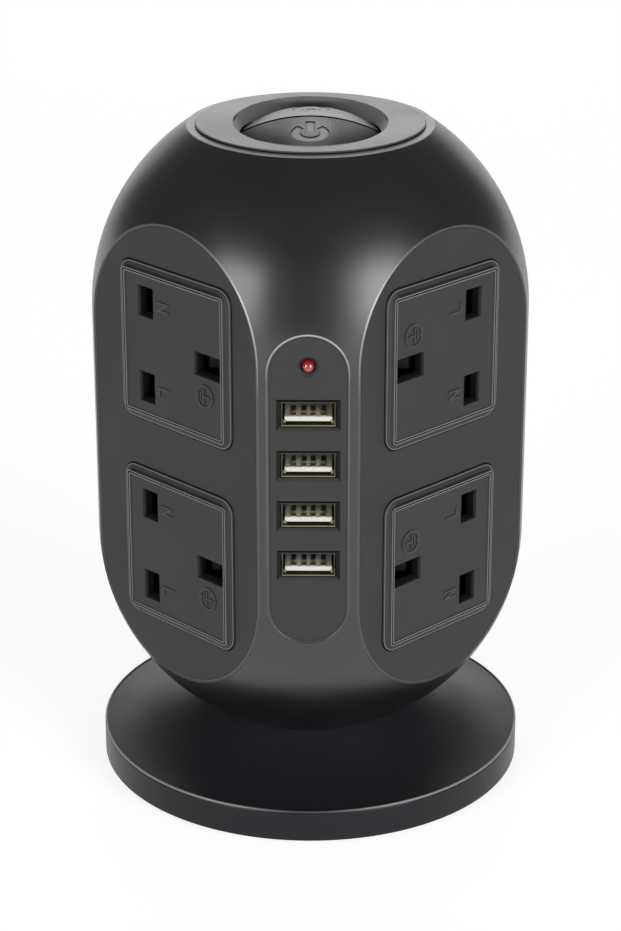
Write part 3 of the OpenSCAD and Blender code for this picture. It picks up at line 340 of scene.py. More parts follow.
def metal(name, colour, roughness, streak=(1.0, 1.0, 12.0), streak_w=0.25, depth=0.004, edge=0.12):
    """Plated or stamped metal: fine drawn streaks in its gloss, with faint tarnish."""
    material = bpy.data.materials.new(name)
    material.use_nodes = True
    tree = material.node_tree
    link = tree.links.new
    shader = tree.nodes["Principled BSDF"]
    shader.inputs["Metallic"].default_value = 1.0
    place = add(tree, "ShaderNodeTexCoord")
    stretch = add(tree, "ShaderNodeMapping")
    stretch.inputs["Scale"].default_value = streak
    streaks = add(tree, "ShaderNodeTexNoise", Scale=1.0 / (streak_w * MM) / max(streak), Detail=3.0)
    link(place.outputs["Object"], stretch.inputs["Vector"])
    link(stretch.outputs["Vector"], streaks.inputs["Vector"])
    gloss = add(tree, "ShaderNodeMapRange")
    gloss.inputs["To Min"].default_value = max(0.05, roughness - 0.10)
    gloss.inputs["To Max"].default_value = roughness + 0.10
    link(streaks.outputs["Fac"], gloss.inputs["Value"])
    link(gloss.outputs["Result"], shader.inputs["Roughness"])
    tarnish = add(tree, "ShaderNodeTexNoise", Scale=160.0, Detail=5.0)
    tones = add(tree, "ShaderNodeValToRGB")
    tones.color_ramp.elements[0].position = 0.35
    tones.color_ramp.elements[1].position = 0.65
    tones.color_ramp.elements[0].color = (*(c * 0.82 for c in colour), 1.0)
    tones.color_ramp.elements[1].color = (*colour, 1.0)
    link(place.outputs["Object"], tarnish.inputs["Vector"])
    link(tarnish.outputs["Fac"], tones.inputs["Fac"])
    link(tones.outputs["Color"], shader.inputs["Base Color"])
    soft_edge = add(tree, "ShaderNodeBevel", samples=4, Radius=edge * MM)
    bump = add(tree, "ShaderNodeBump", Strength=0.4, Distance=depth * MM)
    link(streaks.outputs["Fac"], bump.inputs["Height"])
    link(soft_edge.outputs["Normal"], bump.inputs["Normal"])
    link(bump.outputs["Normal"], shader.inputs["Normal"])
    return material


def lamp_lens():
    material = moulding("red_lens", (0.36, 0.004, 0.008), 0.10, specular=1.0, grain_depth=0.001,
                        edge=0.05, wear_and_highlight=0.0)
    shader = material.node_tree.nodes["Principled BSDF"]
    shader.inputs["Coat Weight"].default_value = 1.0
    shader.inputs["Coat Roughness"].default_value = 0.04
    return material


def graded_painted_light(name, bottom, top, steps, inner, outer, outer_share, specular=0.9, gloss_per_tone=0.0):
    """A plastic with painted light: its tone goes with height, and with how far it lies to either side.

    With gloss_per_tone its painted reflections go with height too.
    """
    material = moulding(name, (0.08, 0.08, 0.082), 0.30, specular=specular, edge=0.05)
    tree = material.node_tree
    shader = tree.nodes["Principled BSDF"]
    place = add(tree, "ShaderNodeTexCoord")
    axes = add(tree, "ShaderNodeSeparateXYZ")
    height = add(tree, "ShaderNodeMapRange")
    height.inputs["From Min"].default_value = bottom
    height.inputs["From Max"].default_value = top
    tones = add(tree, "ShaderNodeValToRGB")
    stops = tones.color_ramp.elements
    for stop, (level, tone) in zip((stops[0], stops[1]), (steps[0], steps[-1])):
        stop.position, stop.color = (level - bottom) / (top - bottom), (tone, tone, tone, 1.0)
    for level, tone in steps[1:-1]:
        stops.new((level - bottom) / (top - bottom)).color = (tone, tone, tone, 1.0)
    aside = add(tree, "ShaderNodeMath", operation="ABSOLUTE")
    share = add(tree, "ShaderNodeMapRange")
    share.inputs["From Min"].default_value = inner
    share.inputs["From Max"].default_value = outer
    share.inputs["To Min"].default_value = 1.0
    share.inputs["To Max"].default_value = outer_share
    fade = add(tree, "ShaderNodeVectorMath", operation="SCALE")
    link = tree.links.new
    link(place.outputs["Object"], axes.inputs["Vector"])
    link(axes.outputs["Z"], height.inputs["Value"])
    link(height.outputs["Result"], tones.inputs["Fac"])
    link(axes.outputs["X"], aside.inputs[0])
    link(aside.outputs[0], share.inputs["Value"])
    link(tones.outputs["Color"], fade.inputs[0])
    link(share.outputs["Result"], fade.inputs["Scale"])
    link(fade.outputs[0], shader.inputs["Base Color"])
    if gloss_per_tone:
        gloss = add(tree, "ShaderNodeMath", operation="MULTIPLY")
        gloss.inputs[1].default_value = gloss_per_tone
        link(tones.outputs["Color"], gloss.inputs[0])
        link(gloss.outputs[0], shader.inputs["Specular IOR Level"])
    return material


FINISHES = {
    # The base's edges are paled strongly: a painted highlight along them as well as abrasion.
    "base_black": moulding("base_satin", (0.015, 0.0147, 0.0185), 0.34, specular=0.2, edge=0.35, wear_and_highlight=0.7),
    "shell_black": moulding("barrel_satin", (0.006, 0.006, 0.0062), 0.32, specular=0.95, edge=0.05),
    "panel_grey": moulding("panel_matte", (0.0132, 0.0132, 0.0135), 0.55, grain_depth=0.03, edge=0.08),
    "port_panel": moulding("port_panel_matte", (0.020, 0.020, 0.0203), 0.55, grain_depth=0.03, edge=0.08),
    "plate_grey": moulding("plate_matte", (0.0152, 0.0152, 0.0155), 0.55, grain_depth=0.03, edge=0.08),
    "mark_grey": moulding("mark_matte", (0.030, 0.030, 0.0303), 0.5, edge=0.06),
    "collar_grey": moulding("collar_satin", (0.062, 0.062, 0.064), 0.34, grain_depth=0.02, spread=0.2,
                            edge=0.12),
    "rocker_grey": moulding("rocker_satin", (0.085, 0.085, 0.087), 0.34, grain_depth=0.02, spread=0.2,
                            edge=0.12),
    "inner_black": moulding("inner_moulding", (0.010, 0.010, 0.011), 0.55, specular=0.3),
    "shutter_black": moulding("shutter_moulding", (0.006, 0.006, 0.007), 0.50, specular=0.3),
    "plunger_white": moulding("plunger_moulding", (0.62, 0.62, 0.58), 0.45, specular=0.5),
    "foot_rubber": moulding("foot_rubber", (0.012, 0.012, 0.012), 0.75, specular=0.3, grain_depth=0.04),
    "screw_steel": metal("zinc_screw", (0.62, 0.62, 0.64), 0.34),
    "spring_steel": metal("drawn_wire", (0.66, 0.67, 0.69), 0.30),
    "contact_brass": metal("stamped_brass", (0.80, 0.60, 0.26), 0.32),
    "port_nickel": metal("port_nickel", (0.26, 0.25, 0.15), 0.34),
    "port_white": moulding("tongue_moulding", (0.66, 0.65, 0.61), 0.35, specular=0.5),
    "port_inside_painted_shade": metal("port_inside_painted_shade", (0.07, 0.067, 0.04), 0.45),
    "port_gold": metal("gold_contact", (0.86, 0.70, 0.34), 0.45),
    "board_green": moulding("solder_mask", (0.02, 0.13, 0.05), 0.30, specular=0.5),
    "parts_black": moulding("component_moulding", (0.02, 0.02, 0.022), 0.5),
    "lamp_red": lamp_lens(),
    "symbol_grey": moulding("symbol_fill", (0.38, 0.38, 0.385), 0.45, edge=0.05),
    # Pale trim that stands for painted highlights along fine edges.
    "painted_edge_highlight": moulding("painted_edge_highlight", (0.16, 0.16, 0.161), 0.45, grain_depth=0.004, edge=0.05),
    "shadow_gap": moulding("shadow_gap", (0.003, 0.003, 0.003), 0.8, specular=0.1, edge=0.05),
    # Socket-flat beads: a painted highlight, its tone rising with height to a peak near 144 mm and fading
    # towards the outer sides.
    "flat_edge_painted_highlight": graded_painted_light("flat_edge_painted_highlight", 40 * MM, 160 * MM,
                             ((50 * MM, 0.008), (66 * MM, 0.03), (120 * MM, 0.04), (134 * MM, 0.24),
                              (144 * MM, 0.55), (151 * MM, 0.22), (156 * MM, 0.02)),
                             28 * MM, 38 * MM, 0.1),
    # Base rim line: a painted highlight, up to four and a half times paler towards the sides.
    "rim_edge_painted_highlight": graded_painted_light("rim_edge_painted_highlight", 0.0, 20 * MM, ((1 * MM, 0.055), (19 * MM, 0.055)), 4 * MM, 26 * MM, 4.5,
                            specular=0.5),
    # Bead round the charging-port flat: a painted highlight, near black at the bottom and brightest at the top.
    "port_edge_painted_highlight": graded_painted_light("port_edge_painted_highlight", 40 * MM, 140 * MM,
                             ((50 * MM, 0.006), (66 * MM, 0.03), (95 * MM, 0.06), (124 * MM, 0.085),
                              (130 * MM, 0.24), (137 * MM, 0.40)),
                             20 * MM, 30 * MM, 1.0),
    # Collar funnel: painted light, near black in the middle and up to fourteen times paler towards the sides.
    "funnel_painted_light": graded_painted_light("funnel_painted_light", 160 * MM, 180 * MM, ((161 * MM, 0.016), (179 * MM, 0.016)),
                               3 * MM, 19 * MM, 14.0, specular=0.3),
    # Rocker's near face: a painted highlight, dim at its low edge and bright towards the crest, with its
    # reflections scaled the same way.
    "near_face_painted_light": graded_painted_light("rocker_near_face_painted_light", 165 * MM, 180 * MM,
                             ((169.5 * MM, 0.016), (171.5 * MM, 0.045), (173 * MM, 0.10), (175 * MM, 0.11)),
                             2 * MM, 10 * MM, 2.1, gloss_per_tone=5.5),
    "flange_grey": moulding("flange_satin", (0.19, 0.19, 0.192), 0.34, grain_depth=0.02, edge=0.12),
    "port_side_painted_shade": moulding("port_side_painted_shade", (0.004, 0.004, 0.0041), 0.6, specular=0.3, edge=0.05),
    "port_ledge_painted_light": moulding("port_ledge_painted_light", (0.040, 0.040, 0.0405), 0.5, edge=0.05),
}


def new_piece(bm, name, body, slot, *materials):
    """Closes and turns a mesh the right way out, and hangs the finished piece on its body."""
    bmesh.ops.remove_doubles(bm, verts=bm.verts, dist=0.002 * MM)
    bmesh.ops.recalc_face_normals(bm, faces=bm.faces)
    mesh = bpy.data.meshes.new(name)
    bm.to_mesh(mesh)
    bm.free()
    for material in materials:
        mesh.materials.append(material)
    piece = bpy.data.objects.new(name, mesh)
    bpy.context.scene.collection.objects.link(piece)
    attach(piece, body)
    return piece


def moved_verts(result):
    return [g for g in result["geom"] if isinstance(g, bmesh.types.BMVert)]


def block(bm, low, high, edge=0.0):
    """A box between two corners, with its edges broken by edge."""
    middle = (Vector(low) + Vector(high)) / 2
    size = Vector(high) - Vector(low)
    made = bmesh.ops.create_cube(bm, size=1.0)["verts"]
    bmesh.ops.scale(bm, vec=size, verts=made)
    bmesh.ops.translate(bm, vec=middle, verts=made)
    if edge:
        edges = list({e for v in made for e in v.link_edges})
        bmesh.ops.bevel(bm, geom=edges, offset=edge, offset_type="OFFSET", segments=2, profile=0.5,
                        affect="EDGES", material=-1)


def raised_outline(bm, points, low, high, edge):
    """A flat shape with the given corners, from low to high, with its upper edges broken."""
    corners = [bm.verts.new((x, y, low)) for x, y in points]
    bottom = bm.faces.new(corners)
    grown = bmesh.ops.extrude_face_region(bm, geom=[bottom], use_keep_orig=True)
    tops = moved_verts(grown)
    bmesh.ops.translate(bm, vec=(0, 0, high - low), verts=tops)
    rim = [e for e in {e for v in tops for e in v.link_edges} if all(v in tops for v in e.verts)]
    bmesh.ops.bevel(bm, geom=rim, offset=edge, offset_type="OFFSET", segments=2, profile=0.5,
                    affect="EDGES", material=-1)


# Marks on the socket plates

def letter_l(bm, right, up, low, high):
    left, foot = right - LETTER_WIDE / 2, up - LETTER_TALL / 2
    raised_outline(bm, [(left, foot), (left + LETTER_WIDE, foot), (left + LETTER_WIDE, foot + STROKE),
                        (left + STROKE, foot + STROKE), (left + STROKE, foot + LETTER_TALL),
                        (left, foot + LETTER_TALL)], low, high, MARK_EDGE)


def letter_n(bm, right, up, low, high):
    left, foot = right - LETTER_WIDE / 2, up - LETTER_TALL / 2
    far, top = left + LETTER_WIDE, foot + LETTER_TALL
    slant = STROKE * LETTER_TALL / LETTER_WIDE
    raised_outline(bm, [(left, foot), (left + STROKE, foot), (left + STROKE, top - slant - STROKE),
                        (far - STROKE, foot), (far, foot), (far, top), (far - STROKE, top),
                        (far - STROKE, foot + slant + STROKE), (left + STROKE, top), (left, top)],
                   low, high, MARK_EDGE)


def earth_sign(bm, right, up, low, high):
    """The sign for earth in a ring: a stem on three bars that get shorter."""
    start = bm.verts.new((right + EARTH_RING_R - EARTH_STROKE, up, low))
    end = bm.verts.new((right + EARTH_RING_R, up, low))
    over_end = bm.verts.new((right + EARTH_RING_R, up, high))
    over_start = bm.verts.new((right + EARTH_RING_R - EARTH_STROKE, up, high))
    section = bm.faces.new((start, end, over_end, over_start))
    loop = list(section.edges)
    bmesh.ops.delete(bm, geom=[section], context="FACES_ONLY")
    bmesh.ops.spin(bm, geom=loop, cent=(right, up, 0), axis=(0, 0, 1), angle=2 * math.pi, steps=48,
                   use_merge=True)
    bar_shares = (1.0, 0.62, 0.28)
    widest = 1.45 * EARTH_RING_R - EARTH_STROKE
    gap = 1.8 * EARTH_STROKE
    first = up - 0.05 * EARTH_RING_R
    block(bm, (right - EARTH_STROKE / 2, first, low), (right + EARTH_STROKE / 2, up + 0.62 * EARTH_RING_R, high))
    for row, share in enumerate(bar_shares):
        half = widest * share / 2
        block(bm, (right - half, first - row * gap - EARTH_STROKE, low),
              (right + half, first - row * gap, high))


def plate_frame(side, level):
    """The matrix from a plate's own drawing to its place: right, up towards the earth hole, outwards."""
    out = Vector((*FACES[side], 0)).normalized()
    up = Vector((*EARTHWARD[side], 0)).normalized()
    right = up.cross(out)
    node = f"socket_plate_{side}_{level}"
    low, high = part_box(node)
    rim = max(out.dot(v.co) for v in frame["nodes"][node].data.vertices)
    place = out * (rim - PLATE_DROP) + Vector((0, 0, (low[2] + high[2]) / 2))
    return Matrix.Translation(place) @ Matrix((right, up, out)).transposed().to_4x4()


def make_plate_marks(side, level):
    bm = bmesh.new()
    letter_n(bm, -LETTER_ASIDE, LETTER_UP, -MARK_SINK, MARK_RISE)
    letter_l(bm, LETTER_ASIDE, LETTER_UP, -MARK_SINK, MARK_RISE)
    earth_sign(bm, EARTH_ASIDE, EARTH_UP, -MARK_SINK, MARK_RISE)
    bmesh.ops.transform(bm, matrix=plate_frame(side, level), verts=bm.verts)
    new_piece(bm, f"plate_marks_{side}_{level}", "housing", "plate_grey", FINISHES["mark_grey"])


# Charging ports

def port_heights():
    low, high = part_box("usb_shells")
    pitch = (high[2] - low[2] - PORT_TALL) / (PORT_COUNT - 1)
    return [high[2] - PORT_TALL / 2 - i * pitch for i in range(PORT_COUNT)]


def make_port_details():
    heights = port_heights()
    tongues_low, tongues_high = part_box("usb_tongues")
    contacts_low, contacts_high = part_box("usb_contacts")
    shells_low, shells_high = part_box("usb_shells")
    front = tongues_low[1]
    top_in_port = contacts_high[2] - heights[0] - 0.2 * MM
    pads = bmesh.new()
    slots = bmesh.new()
    tabs = bmesh.new()
    for z in heights:
        top = z + top_in_port
        for x in PAD_PLACES:
            block(pads, (x - PAD_WIDE / 2, front + PAD_FRONT, top - SKIN),
                  (x + PAD_WIDE / 2, front + PAD_FRONT + PAD_LONG, top + PAD_RISE), 0.1 * MM)
            block(pads, (x - TIP_WIDE / 2, front + TIP_FRONT, top - SKIN),
                  (x + TIP_WIDE / 2, front + TIP_FRONT + TIP_LONG, top + PAD_RISE), 0.08 * MM)
            # Thin black sheets behind the pads: painted shade standing for the slots in the tongue.
            block(slots, (x - SLOT_WIDE / 2, front + SLOT_FRONT, top - SKIN),
                  (x + SLOT_WIDE / 2, front + SLOT_FRONT + SLOT_LONG, top + SKIN))
        for turn in (-1, 1):
            outer = turn * (shells_high[0] - PORT_WALL - SKIN)
            inner = turn * (shells_high[0] - PORT_WALL - 0.85 * MM)
            floor = z - PORT_TALL / 2 + PORT_WALL
            block(tabs, (min(outer, inner), front - 0.05 * MM, floor + SKIN),
                  (max(outer, inner), front + 4.5 * MM, floor + 1.15 * MM), 0.12 * MM)
    made = new_piece(pads, "contact_pads", "housing", "port_gold", FINISHES["port_gold"])
    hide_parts("usb_contacts")
    new_piece(slots, "tongue_slot_painted_shade", "housing", "parts_black", FINISHES["parts_black"])
    new_piece(tabs, "port_tabs", "housing", "port_nickel", FINISHES["port_nickel"])


def new_loop(result):
    verts = set(moved_verts(result))
    return [g for g in result["geom"] if isinstance(g, bmesh.types.BMEdge) and all(v in verts for v in g.verts)]


def last_loop(result):
    return [g for g in result["geom_last"] if isinstance(g, bmesh.types.BMEdge)]


def outline_bead(bm, reach, depth, bead_r):
    """A bead that runs up one side of a flat, over its top, down the other side and under it."""
    ring = bmesh.ops.create_circle(bm, segments=14, radius=bead_r)["verts"]
    bmesh.ops.rotate(bm, cent=(0, 0, 0), matrix=Matrix.Rotation(math.radians(90), 3, "X"), verts=ring)
    bmesh.ops.translate(bm, vec=(reach, LOW_DOME_Z, depth), verts=ring)
    loop = [e for e in bm.edges if all(v in ring for v in e.verts)]
    for turn_z, rise in ((HIGH_DOME_Z, HIGH_DOME_Z - LOW_DOME_Z), (LOW_DOME_Z, LOW_DOME_Z - HIGH_DOME_Z)):
        grown = bmesh.ops.extrude_edge_only(bm, edges=loop)
        bmesh.ops.translate(bm, vec=(0, rise, 0), verts=moved_verts(grown))
        turned = bmesh.ops.spin(bm, geom=new_loop(grown), cent=(0, turn_z, depth), axis=(0, 0, 1),
                                angle=math.pi, steps=48)
        loop = last_loop(turned)
    for face in bm.faces:
        face.smooth = True


def side_frame(out, across):
    """The matrix from a flat drawing (across, height, distance from the axis) to its place."""
    return Matrix((across, Vector((0, 0, 1)), out)).transposed().to_4x4()


# The beads round the flats are coloured with painted highlights that follow height.
def make_edge_beads():
    low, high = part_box("usb_panel")
    bm = bmesh.new()
    outline_bead(bm, (high[0] - low[0]) / 2 + BEAD_OUT, -low[1] + BEAD_PROUD - BEAD_R, BEAD_R)
    bmesh.ops.translate(bm, vec=(BEAD_SHIFT, 0, 0), verts=bm.verts)
    bmesh.ops.transform(bm, matrix=side_frame(Vector((0, -1, 0)), Vector((1, 0, 0))), verts=bm.verts)
    new_piece(bm, "port_flat_bead", "housing", "shell_black", FINISHES["port_edge_painted_highlight"])
    for side in FACES:
        out = Vector((*FACES[side], 0)).normalized()
        across = Vector((*EARTHWARD[side], 0)).normalized()
        spots = [v.co for v in frame["nodes"][f"panel_{side}"].data.vertices]
        reach = max(across.dot(v) for v in spots) + LIP_W
        bm = bmesh.new()
        outline_bead(bm, reach, FLAT_D + FLAT_BEAD_PROUD - FLAT_BEAD_R, FLAT_BEAD_R)
        bmesh.ops.transform(bm, matrix=side_frame(out, across), verts=bm.verts)
        new_piece(bm, f"flat_bead_{side}", "housing", "shell_black", FINISHES["flat_edge_painted_highlight"])


def make_rim_line():
    """The fine line where the base's rim meets its upper face, coloured as a painted highlight that grows paler
    towards the sides.
    """
    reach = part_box("base_cover")[1][0] - RIM_LINE_R - 0.1 * SKIN
    bm = bmesh.new()
    ring = bmesh.ops.create_circle(bm, segments=12, radius=RIM_LINE_R)["verts"]
    bmesh.ops.rotate(bm, cent=(0, 0, 0), matrix=Matrix.Rotation(math.radians(90), 3, "X"), verts=ring)
    bmesh.ops.translate(bm, vec=(reach, 0, RIM_Z - RIM_LINE_SINK), verts=ring)
    bmesh.ops.spin(bm, geom=list(bm.edges), cent=(0, 0, 0), axis=(0, 0, 1), angle=2 * math.pi, steps=160,
                   use_merge=True)
    for face in bm.faces:
        face.smooth = True
    new_piece(bm, "base_rim_line", "housing", "base_black", FINISHES["rim_edge_painted_highlight"])


# Bezels

def rounded_ring(bm, wide, tall, corner, width, low, high):
    """A flat frame with rounded corners: its outside is wide by tall, and it is width across."""
    corners = bmesh.ops.create_grid(bm, x_segments=1, y_segments=1, size=0.5)["verts"]
    bmesh.ops.scale(bm, vec=(wide, tall, 1), verts=corners)
    sheet = corners[0].link_faces[0]
    rounded = bmesh.ops.bevel(bm, geom=corners, offset=corner, offset_type="OFFSET", segments=7,
                              profile=0.5, affect="VERTICES", material=-1)
    sheet = max((f for v in rounded["verts"] for f in v.link_faces), key=lambda f: f.calc_area())
    frame_faces = bmesh.ops.inset_region(bm, faces=[sheet], thickness=width, use_boundary=True,
                                         use_even_offset=True)["faces"]
    bmesh.ops.delete(bm, geom=[sheet], context="FACES_ONLY")
    rim = {v for f in frame_faces for v in f.verts}
    bmesh.ops.translate(bm, vec=(0, 0, low), verts=list(rim))
    grown = bmesh.ops.extrude_face_region(bm, geom=frame_faces, use_keep_orig=True)
    bmesh.ops.translate(bm, vec=(0, 0, high - low), verts=moved_verts(grown))


def make_bezel_edges():
    """Painted highlights along the fine edges of each bezel and plate, and painted shade in the lines beside
    them.
    """
    pale = bmesh.new()
    painted_shade = bmesh.new()
    for side in FACES:
        out = Vector((*FACES[side], 0)).normalized()
        across = Vector((*EARTHWARD[side], 0)).normalized()
        for level in LEVELS:
            low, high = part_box(f"socket_plate_{side}_{level}")
            place = Matrix.Translation(out * FLAT_D + across * SOCKET_SHIFT +
                                       Vector((0, 0, (low[2] + high[2]) / 2)))
            place = place @ side_frame(out, across)
            step = (BEZEL_W - 2 * STEP_SLOPE, BEZEL_H - 2 * STEP_SLOPE)
            hole = (PLATE_W + 2 * PLATE_SEAM + 2 * SEAM_SPREAD, PLATE_H + 2 * PLATE_SEAM + 2 * SEAM_SPREAD)
            rim = (PLATE_W - 2 * SEAM_SPREAD, PLATE_H - 2 * SEAM_SPREAD)
            for bm, wide, tall, corner, width, rise in (
                    (pale, *step, BEZEL_CORNER_R - STEP_SLOPE, EDGE_W, BEZEL_STEP + SKIN),
                    (pale, hole[0] + 2 * CREST_W, hole[1] + 2 * CREST_W, 0.9 * MM, CREST_W, BEZEL_RISE),
                    (pale, *rim, 0.5 * MM, EDGE_W, BEZEL_RISE),
                    (painted_shade, BEZEL_W + 2 * SHADOW_W, BEZEL_H + 2 * SHADOW_W, BEZEL_CORNER_R + SHADOW_W,
                     SHADOW_W, 0.0),
                    (painted_shade, *hole, 0.6 * MM, PLATE_SEAM + 2 * SEAM_SPREAD, BEZEL_RISE)):
                own = bmesh.new()
                rounded_ring(own, wide, tall, corner, width, rise - 3 * SKIN, rise + SKIN / 2)
                bmesh.ops.transform(own, matrix=place, verts=own.verts)
                bmesh.ops.recalc_face_normals(own, faces=own.faces)
                held = bpy.data.meshes.new("held")
                own.to_mesh(held)
                own.free()
                bm.from_mesh(held)
                bpy.data.meshes.remove(held)
    new_piece(pale, "bezel_painted_highlights", "housing", "panel_grey", FINISHES["painted_edge_highlight"])
    new_piece(painted_shade, "bezel_shadow_lines", "housing", "panel_grey", FINISHES["shadow_gap"])


# Socket plates

def make_plate(side, level):
    """The plate with its face drawn up to just below its rim, inside a narrow slope."""
    node = f"socket_plate_{side}_{level}"
    out = Vector((*FACES[side], 0)).normalized()
    across = Vector((*EARTHWARD[side], 0)).normalized()
    low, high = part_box(node)
    bm = bmesh.new()
    bm.from_mesh(frame["nodes"][node].data)
    bmesh.ops.remove_doubles(bm, verts=bm.verts, dist=0.002 * MM)
    rim = max(out.dot(v.co) for v in bm.verts)
    middle = (low[2] + high[2]) / 2
    for vert in bm.verts:
        if abs(out.dot(vert.co) - rim + CAD_PLATE_DROP) > SKIN / 2:
            continue
        beside = across.dot(vert.co) - SOCKET_SHIFT
        above = vert.co.z - middle
        at_side = abs(beside) > PLATE_W / 2 - SLOPE_FOOT - SKIN
        at_end = abs(above) > PLATE_H / 2 - SLOPE_FOOT - SKIN
        if at_side:
            vert.co += across * math.copysign(SLOPE_DRAWN, beside)
        if at_end:
            vert.co.z += math.copysign(SLOPE_DRAWN, above)
        vert.co += out * (CAD_PLATE_DROP - PLATE_DROP)
    made = new_piece(bm, f"plate_dressed_{side}_{level}", "housing", "plate_grey", FINISHES["plate_grey"])
    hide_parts(node)


# Port panel and port shells

def make_port_panel():
    """The port panel, with painted shade on the sides and upper faces of its recesses and a painted highlight on
    their lower ledges.
    """
    low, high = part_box("usb_panel")
    bm = bmesh.new()
    bm.from_mesh(frame["nodes"]["usb_panel"].data)
    bmesh.ops.remove_doubles(bm, verts=bm.verts, dist=0.002 * MM)
    bmesh.ops.recalc_face_normals(bm, faces=bm.faces)
    bm.normal_update()
    heights = port_heights()
    for face in bm.faces:
        spot = face.calc_center_median()
        near_port = min(abs(z - spot.z) for z in heights) < RECESS_REACH and abs(spot.x) < high[0] - LIP_TALL
        if spot.y < low[1] + SKIN or abs(face.normal.y) > 0.95 or not near_port:
            continue
        # Downward faces get a painted black shadow, upward ledges a painted highlight, and the sides painted
        # shade.
        if face.normal.z < -0.3:
            face.material_index = 1
        elif face.normal.z > 0.3:
            face.material_index = 3
        else:
            face.material_index = 2
    made = new_piece(bm, "port_panel", "housing", "panel_grey", FINISHES["port_panel"],
                     FINISHES["shadow_gap"], FINISHES["port_side_painted_shade"], FINISHES["port_ledge_painted_light"])
    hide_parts("usb_panel")


def make_port_shells():
    """The shells with their lower lip at the front and their upper edge set further back; all above the lower
    lip is darkened with painted shade.
    """
    low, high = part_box("usb_shells")
    bm = bmesh.new()
    bm.from_mesh(frame["nodes"]["usb_shells"].data)
    bmesh.ops.remove_doubles(bm, verts=bm.verts, dist=0.002 * MM)
    heights = port_heights()
    for vert in bm.verts:
        if vert.co.y < low[1] + SKIN:
            middle = min(heights, key=lambda z: abs(z - vert.co.z))
            if vert.co.z > middle:
                vert.co.y += SHELL_SET_BACK
    # Faces above the lower lip take a darker metal: painted shade.
    for face in bm.faces:
        spot = face.calc_center_median()
        middle = min(heights, key=lambda z: abs(z - spot.z))
        face.material_index = 0 if spot.z < middle - PORT_TALL / 2 + LIP_TALL else 1
    made = new_piece(bm, "port_shells", "housing", "port_nickel", FINISHES["port_nickel"],
                     FINISHES["port_inside_painted_shade"])
    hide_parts("usb_shells")


# Collar

def make_collar():
    """The collar with its opening drawn out from front to back, painted shade on its groove wall and throat,
    painted light on its funnel, and a flange below it.
    """
    low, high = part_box("top_collar")
    bm = bmesh.new()
    bm.from_mesh(frame["nodes"]["top_collar"].data)
    bmesh.ops.remove_doubles(bm, verts=bm.verts, dist=0.002 * MM)
    for vert in bm.verts:
        reach = math.hypot(vert.co.x, vert.co.y)
        if abs(reach - FUNNEL_R) < 0.1 * MM and vert.co.z > high[2] - SKIN:
            vert.co.x *= OPENING_X / FUNNEL_R
            vert.co.y *= OPENING_Y / FUNNEL_R
    bm.normal_update()
    for face in bm.faces:
        middle = face.calc_center_median()
        reach = math.hypot(middle.x, middle.y)
        upright = abs(face.normal.z) < 0.1
        groove = upright and reach > COLLAR_R - 0.2 * MM and middle.z > high[2] - COLLAR_H
        lip = upright and reach < MOUTH_R + 0.1 * MM
        funnel = not upright and reach < OPENING_Y and middle.z < high[2] - SKIN and face.normal.z > 0
        # Groove wall and throat get painted shade; the funnel gets painted light.
        face.material_index = 1 if groove or lip else 2 if funnel else 0
        face.smooth = face.material_index == 2
    for edge in bm.edges:
        edge.smooth = all(f.material_index == 2 for f in edge.link_faces)
    made = new_piece(bm, "collar_dressed", "housing", "collar_grey", FINISHES["collar_grey"],
                     FINISHES["shadow_gap"], FINISHES["funnel_painted_light"])
    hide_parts("top_collar")
    crown = high[2] - COLLAR_H
    bm = bmesh.new()
    corners = ((COLLAR_R + SKIN, -SKIN), (COLLAR_R + SKIN, FLANGE_H), (CROWN_R - 2 * SKIN, FLANGE_H),
               (CROWN_R, FLANGE_H - 2 * SKIN), (CROWN_R, -SKIN))
    ring = [bm.verts.new((r, 0, crown + z)) for r, z in corners]
    section = bm.faces.new(ring)
    edges = list(section.edges)
    bmesh.ops.delete(bm, geom=[section], context="FACES_ONLY")
    bmesh.ops.spin(bm, geom=edges, cent=(0, 0, 0), axis=(0, 0, 1), angle=2 * math.pi, steps=128,
                   use_merge=True)
    new_piece(bm, "collar_flange", "housing", "collar_grey", FINISHES["flange_grey"])


# Rocker

def crest_height():
    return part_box("rocker")[1][2] + GROOVE_W / 2 * math.tan(-FAR_SLOPE)


def belly(y):
    """How far the near face swells between the crest and its low edge."""
    if not -MOUTH_R < y < 0:
        return 0.0
    share = 1 + 2 * y / MOUTH_R
    return NEAR_BELLY * (1 - share * share)


def on_arch(x, y):
    """The height of a rocker face in its own tilted frame."""
    return math.sqrt(ARCH_R ** 2 - x ** 2) - ARCH_R + belly(y)


def face_frame(slope):
    return Matrix.Translation((0, 0, crest_height())) @ Matrix.Rotation(slope, 4, "X")


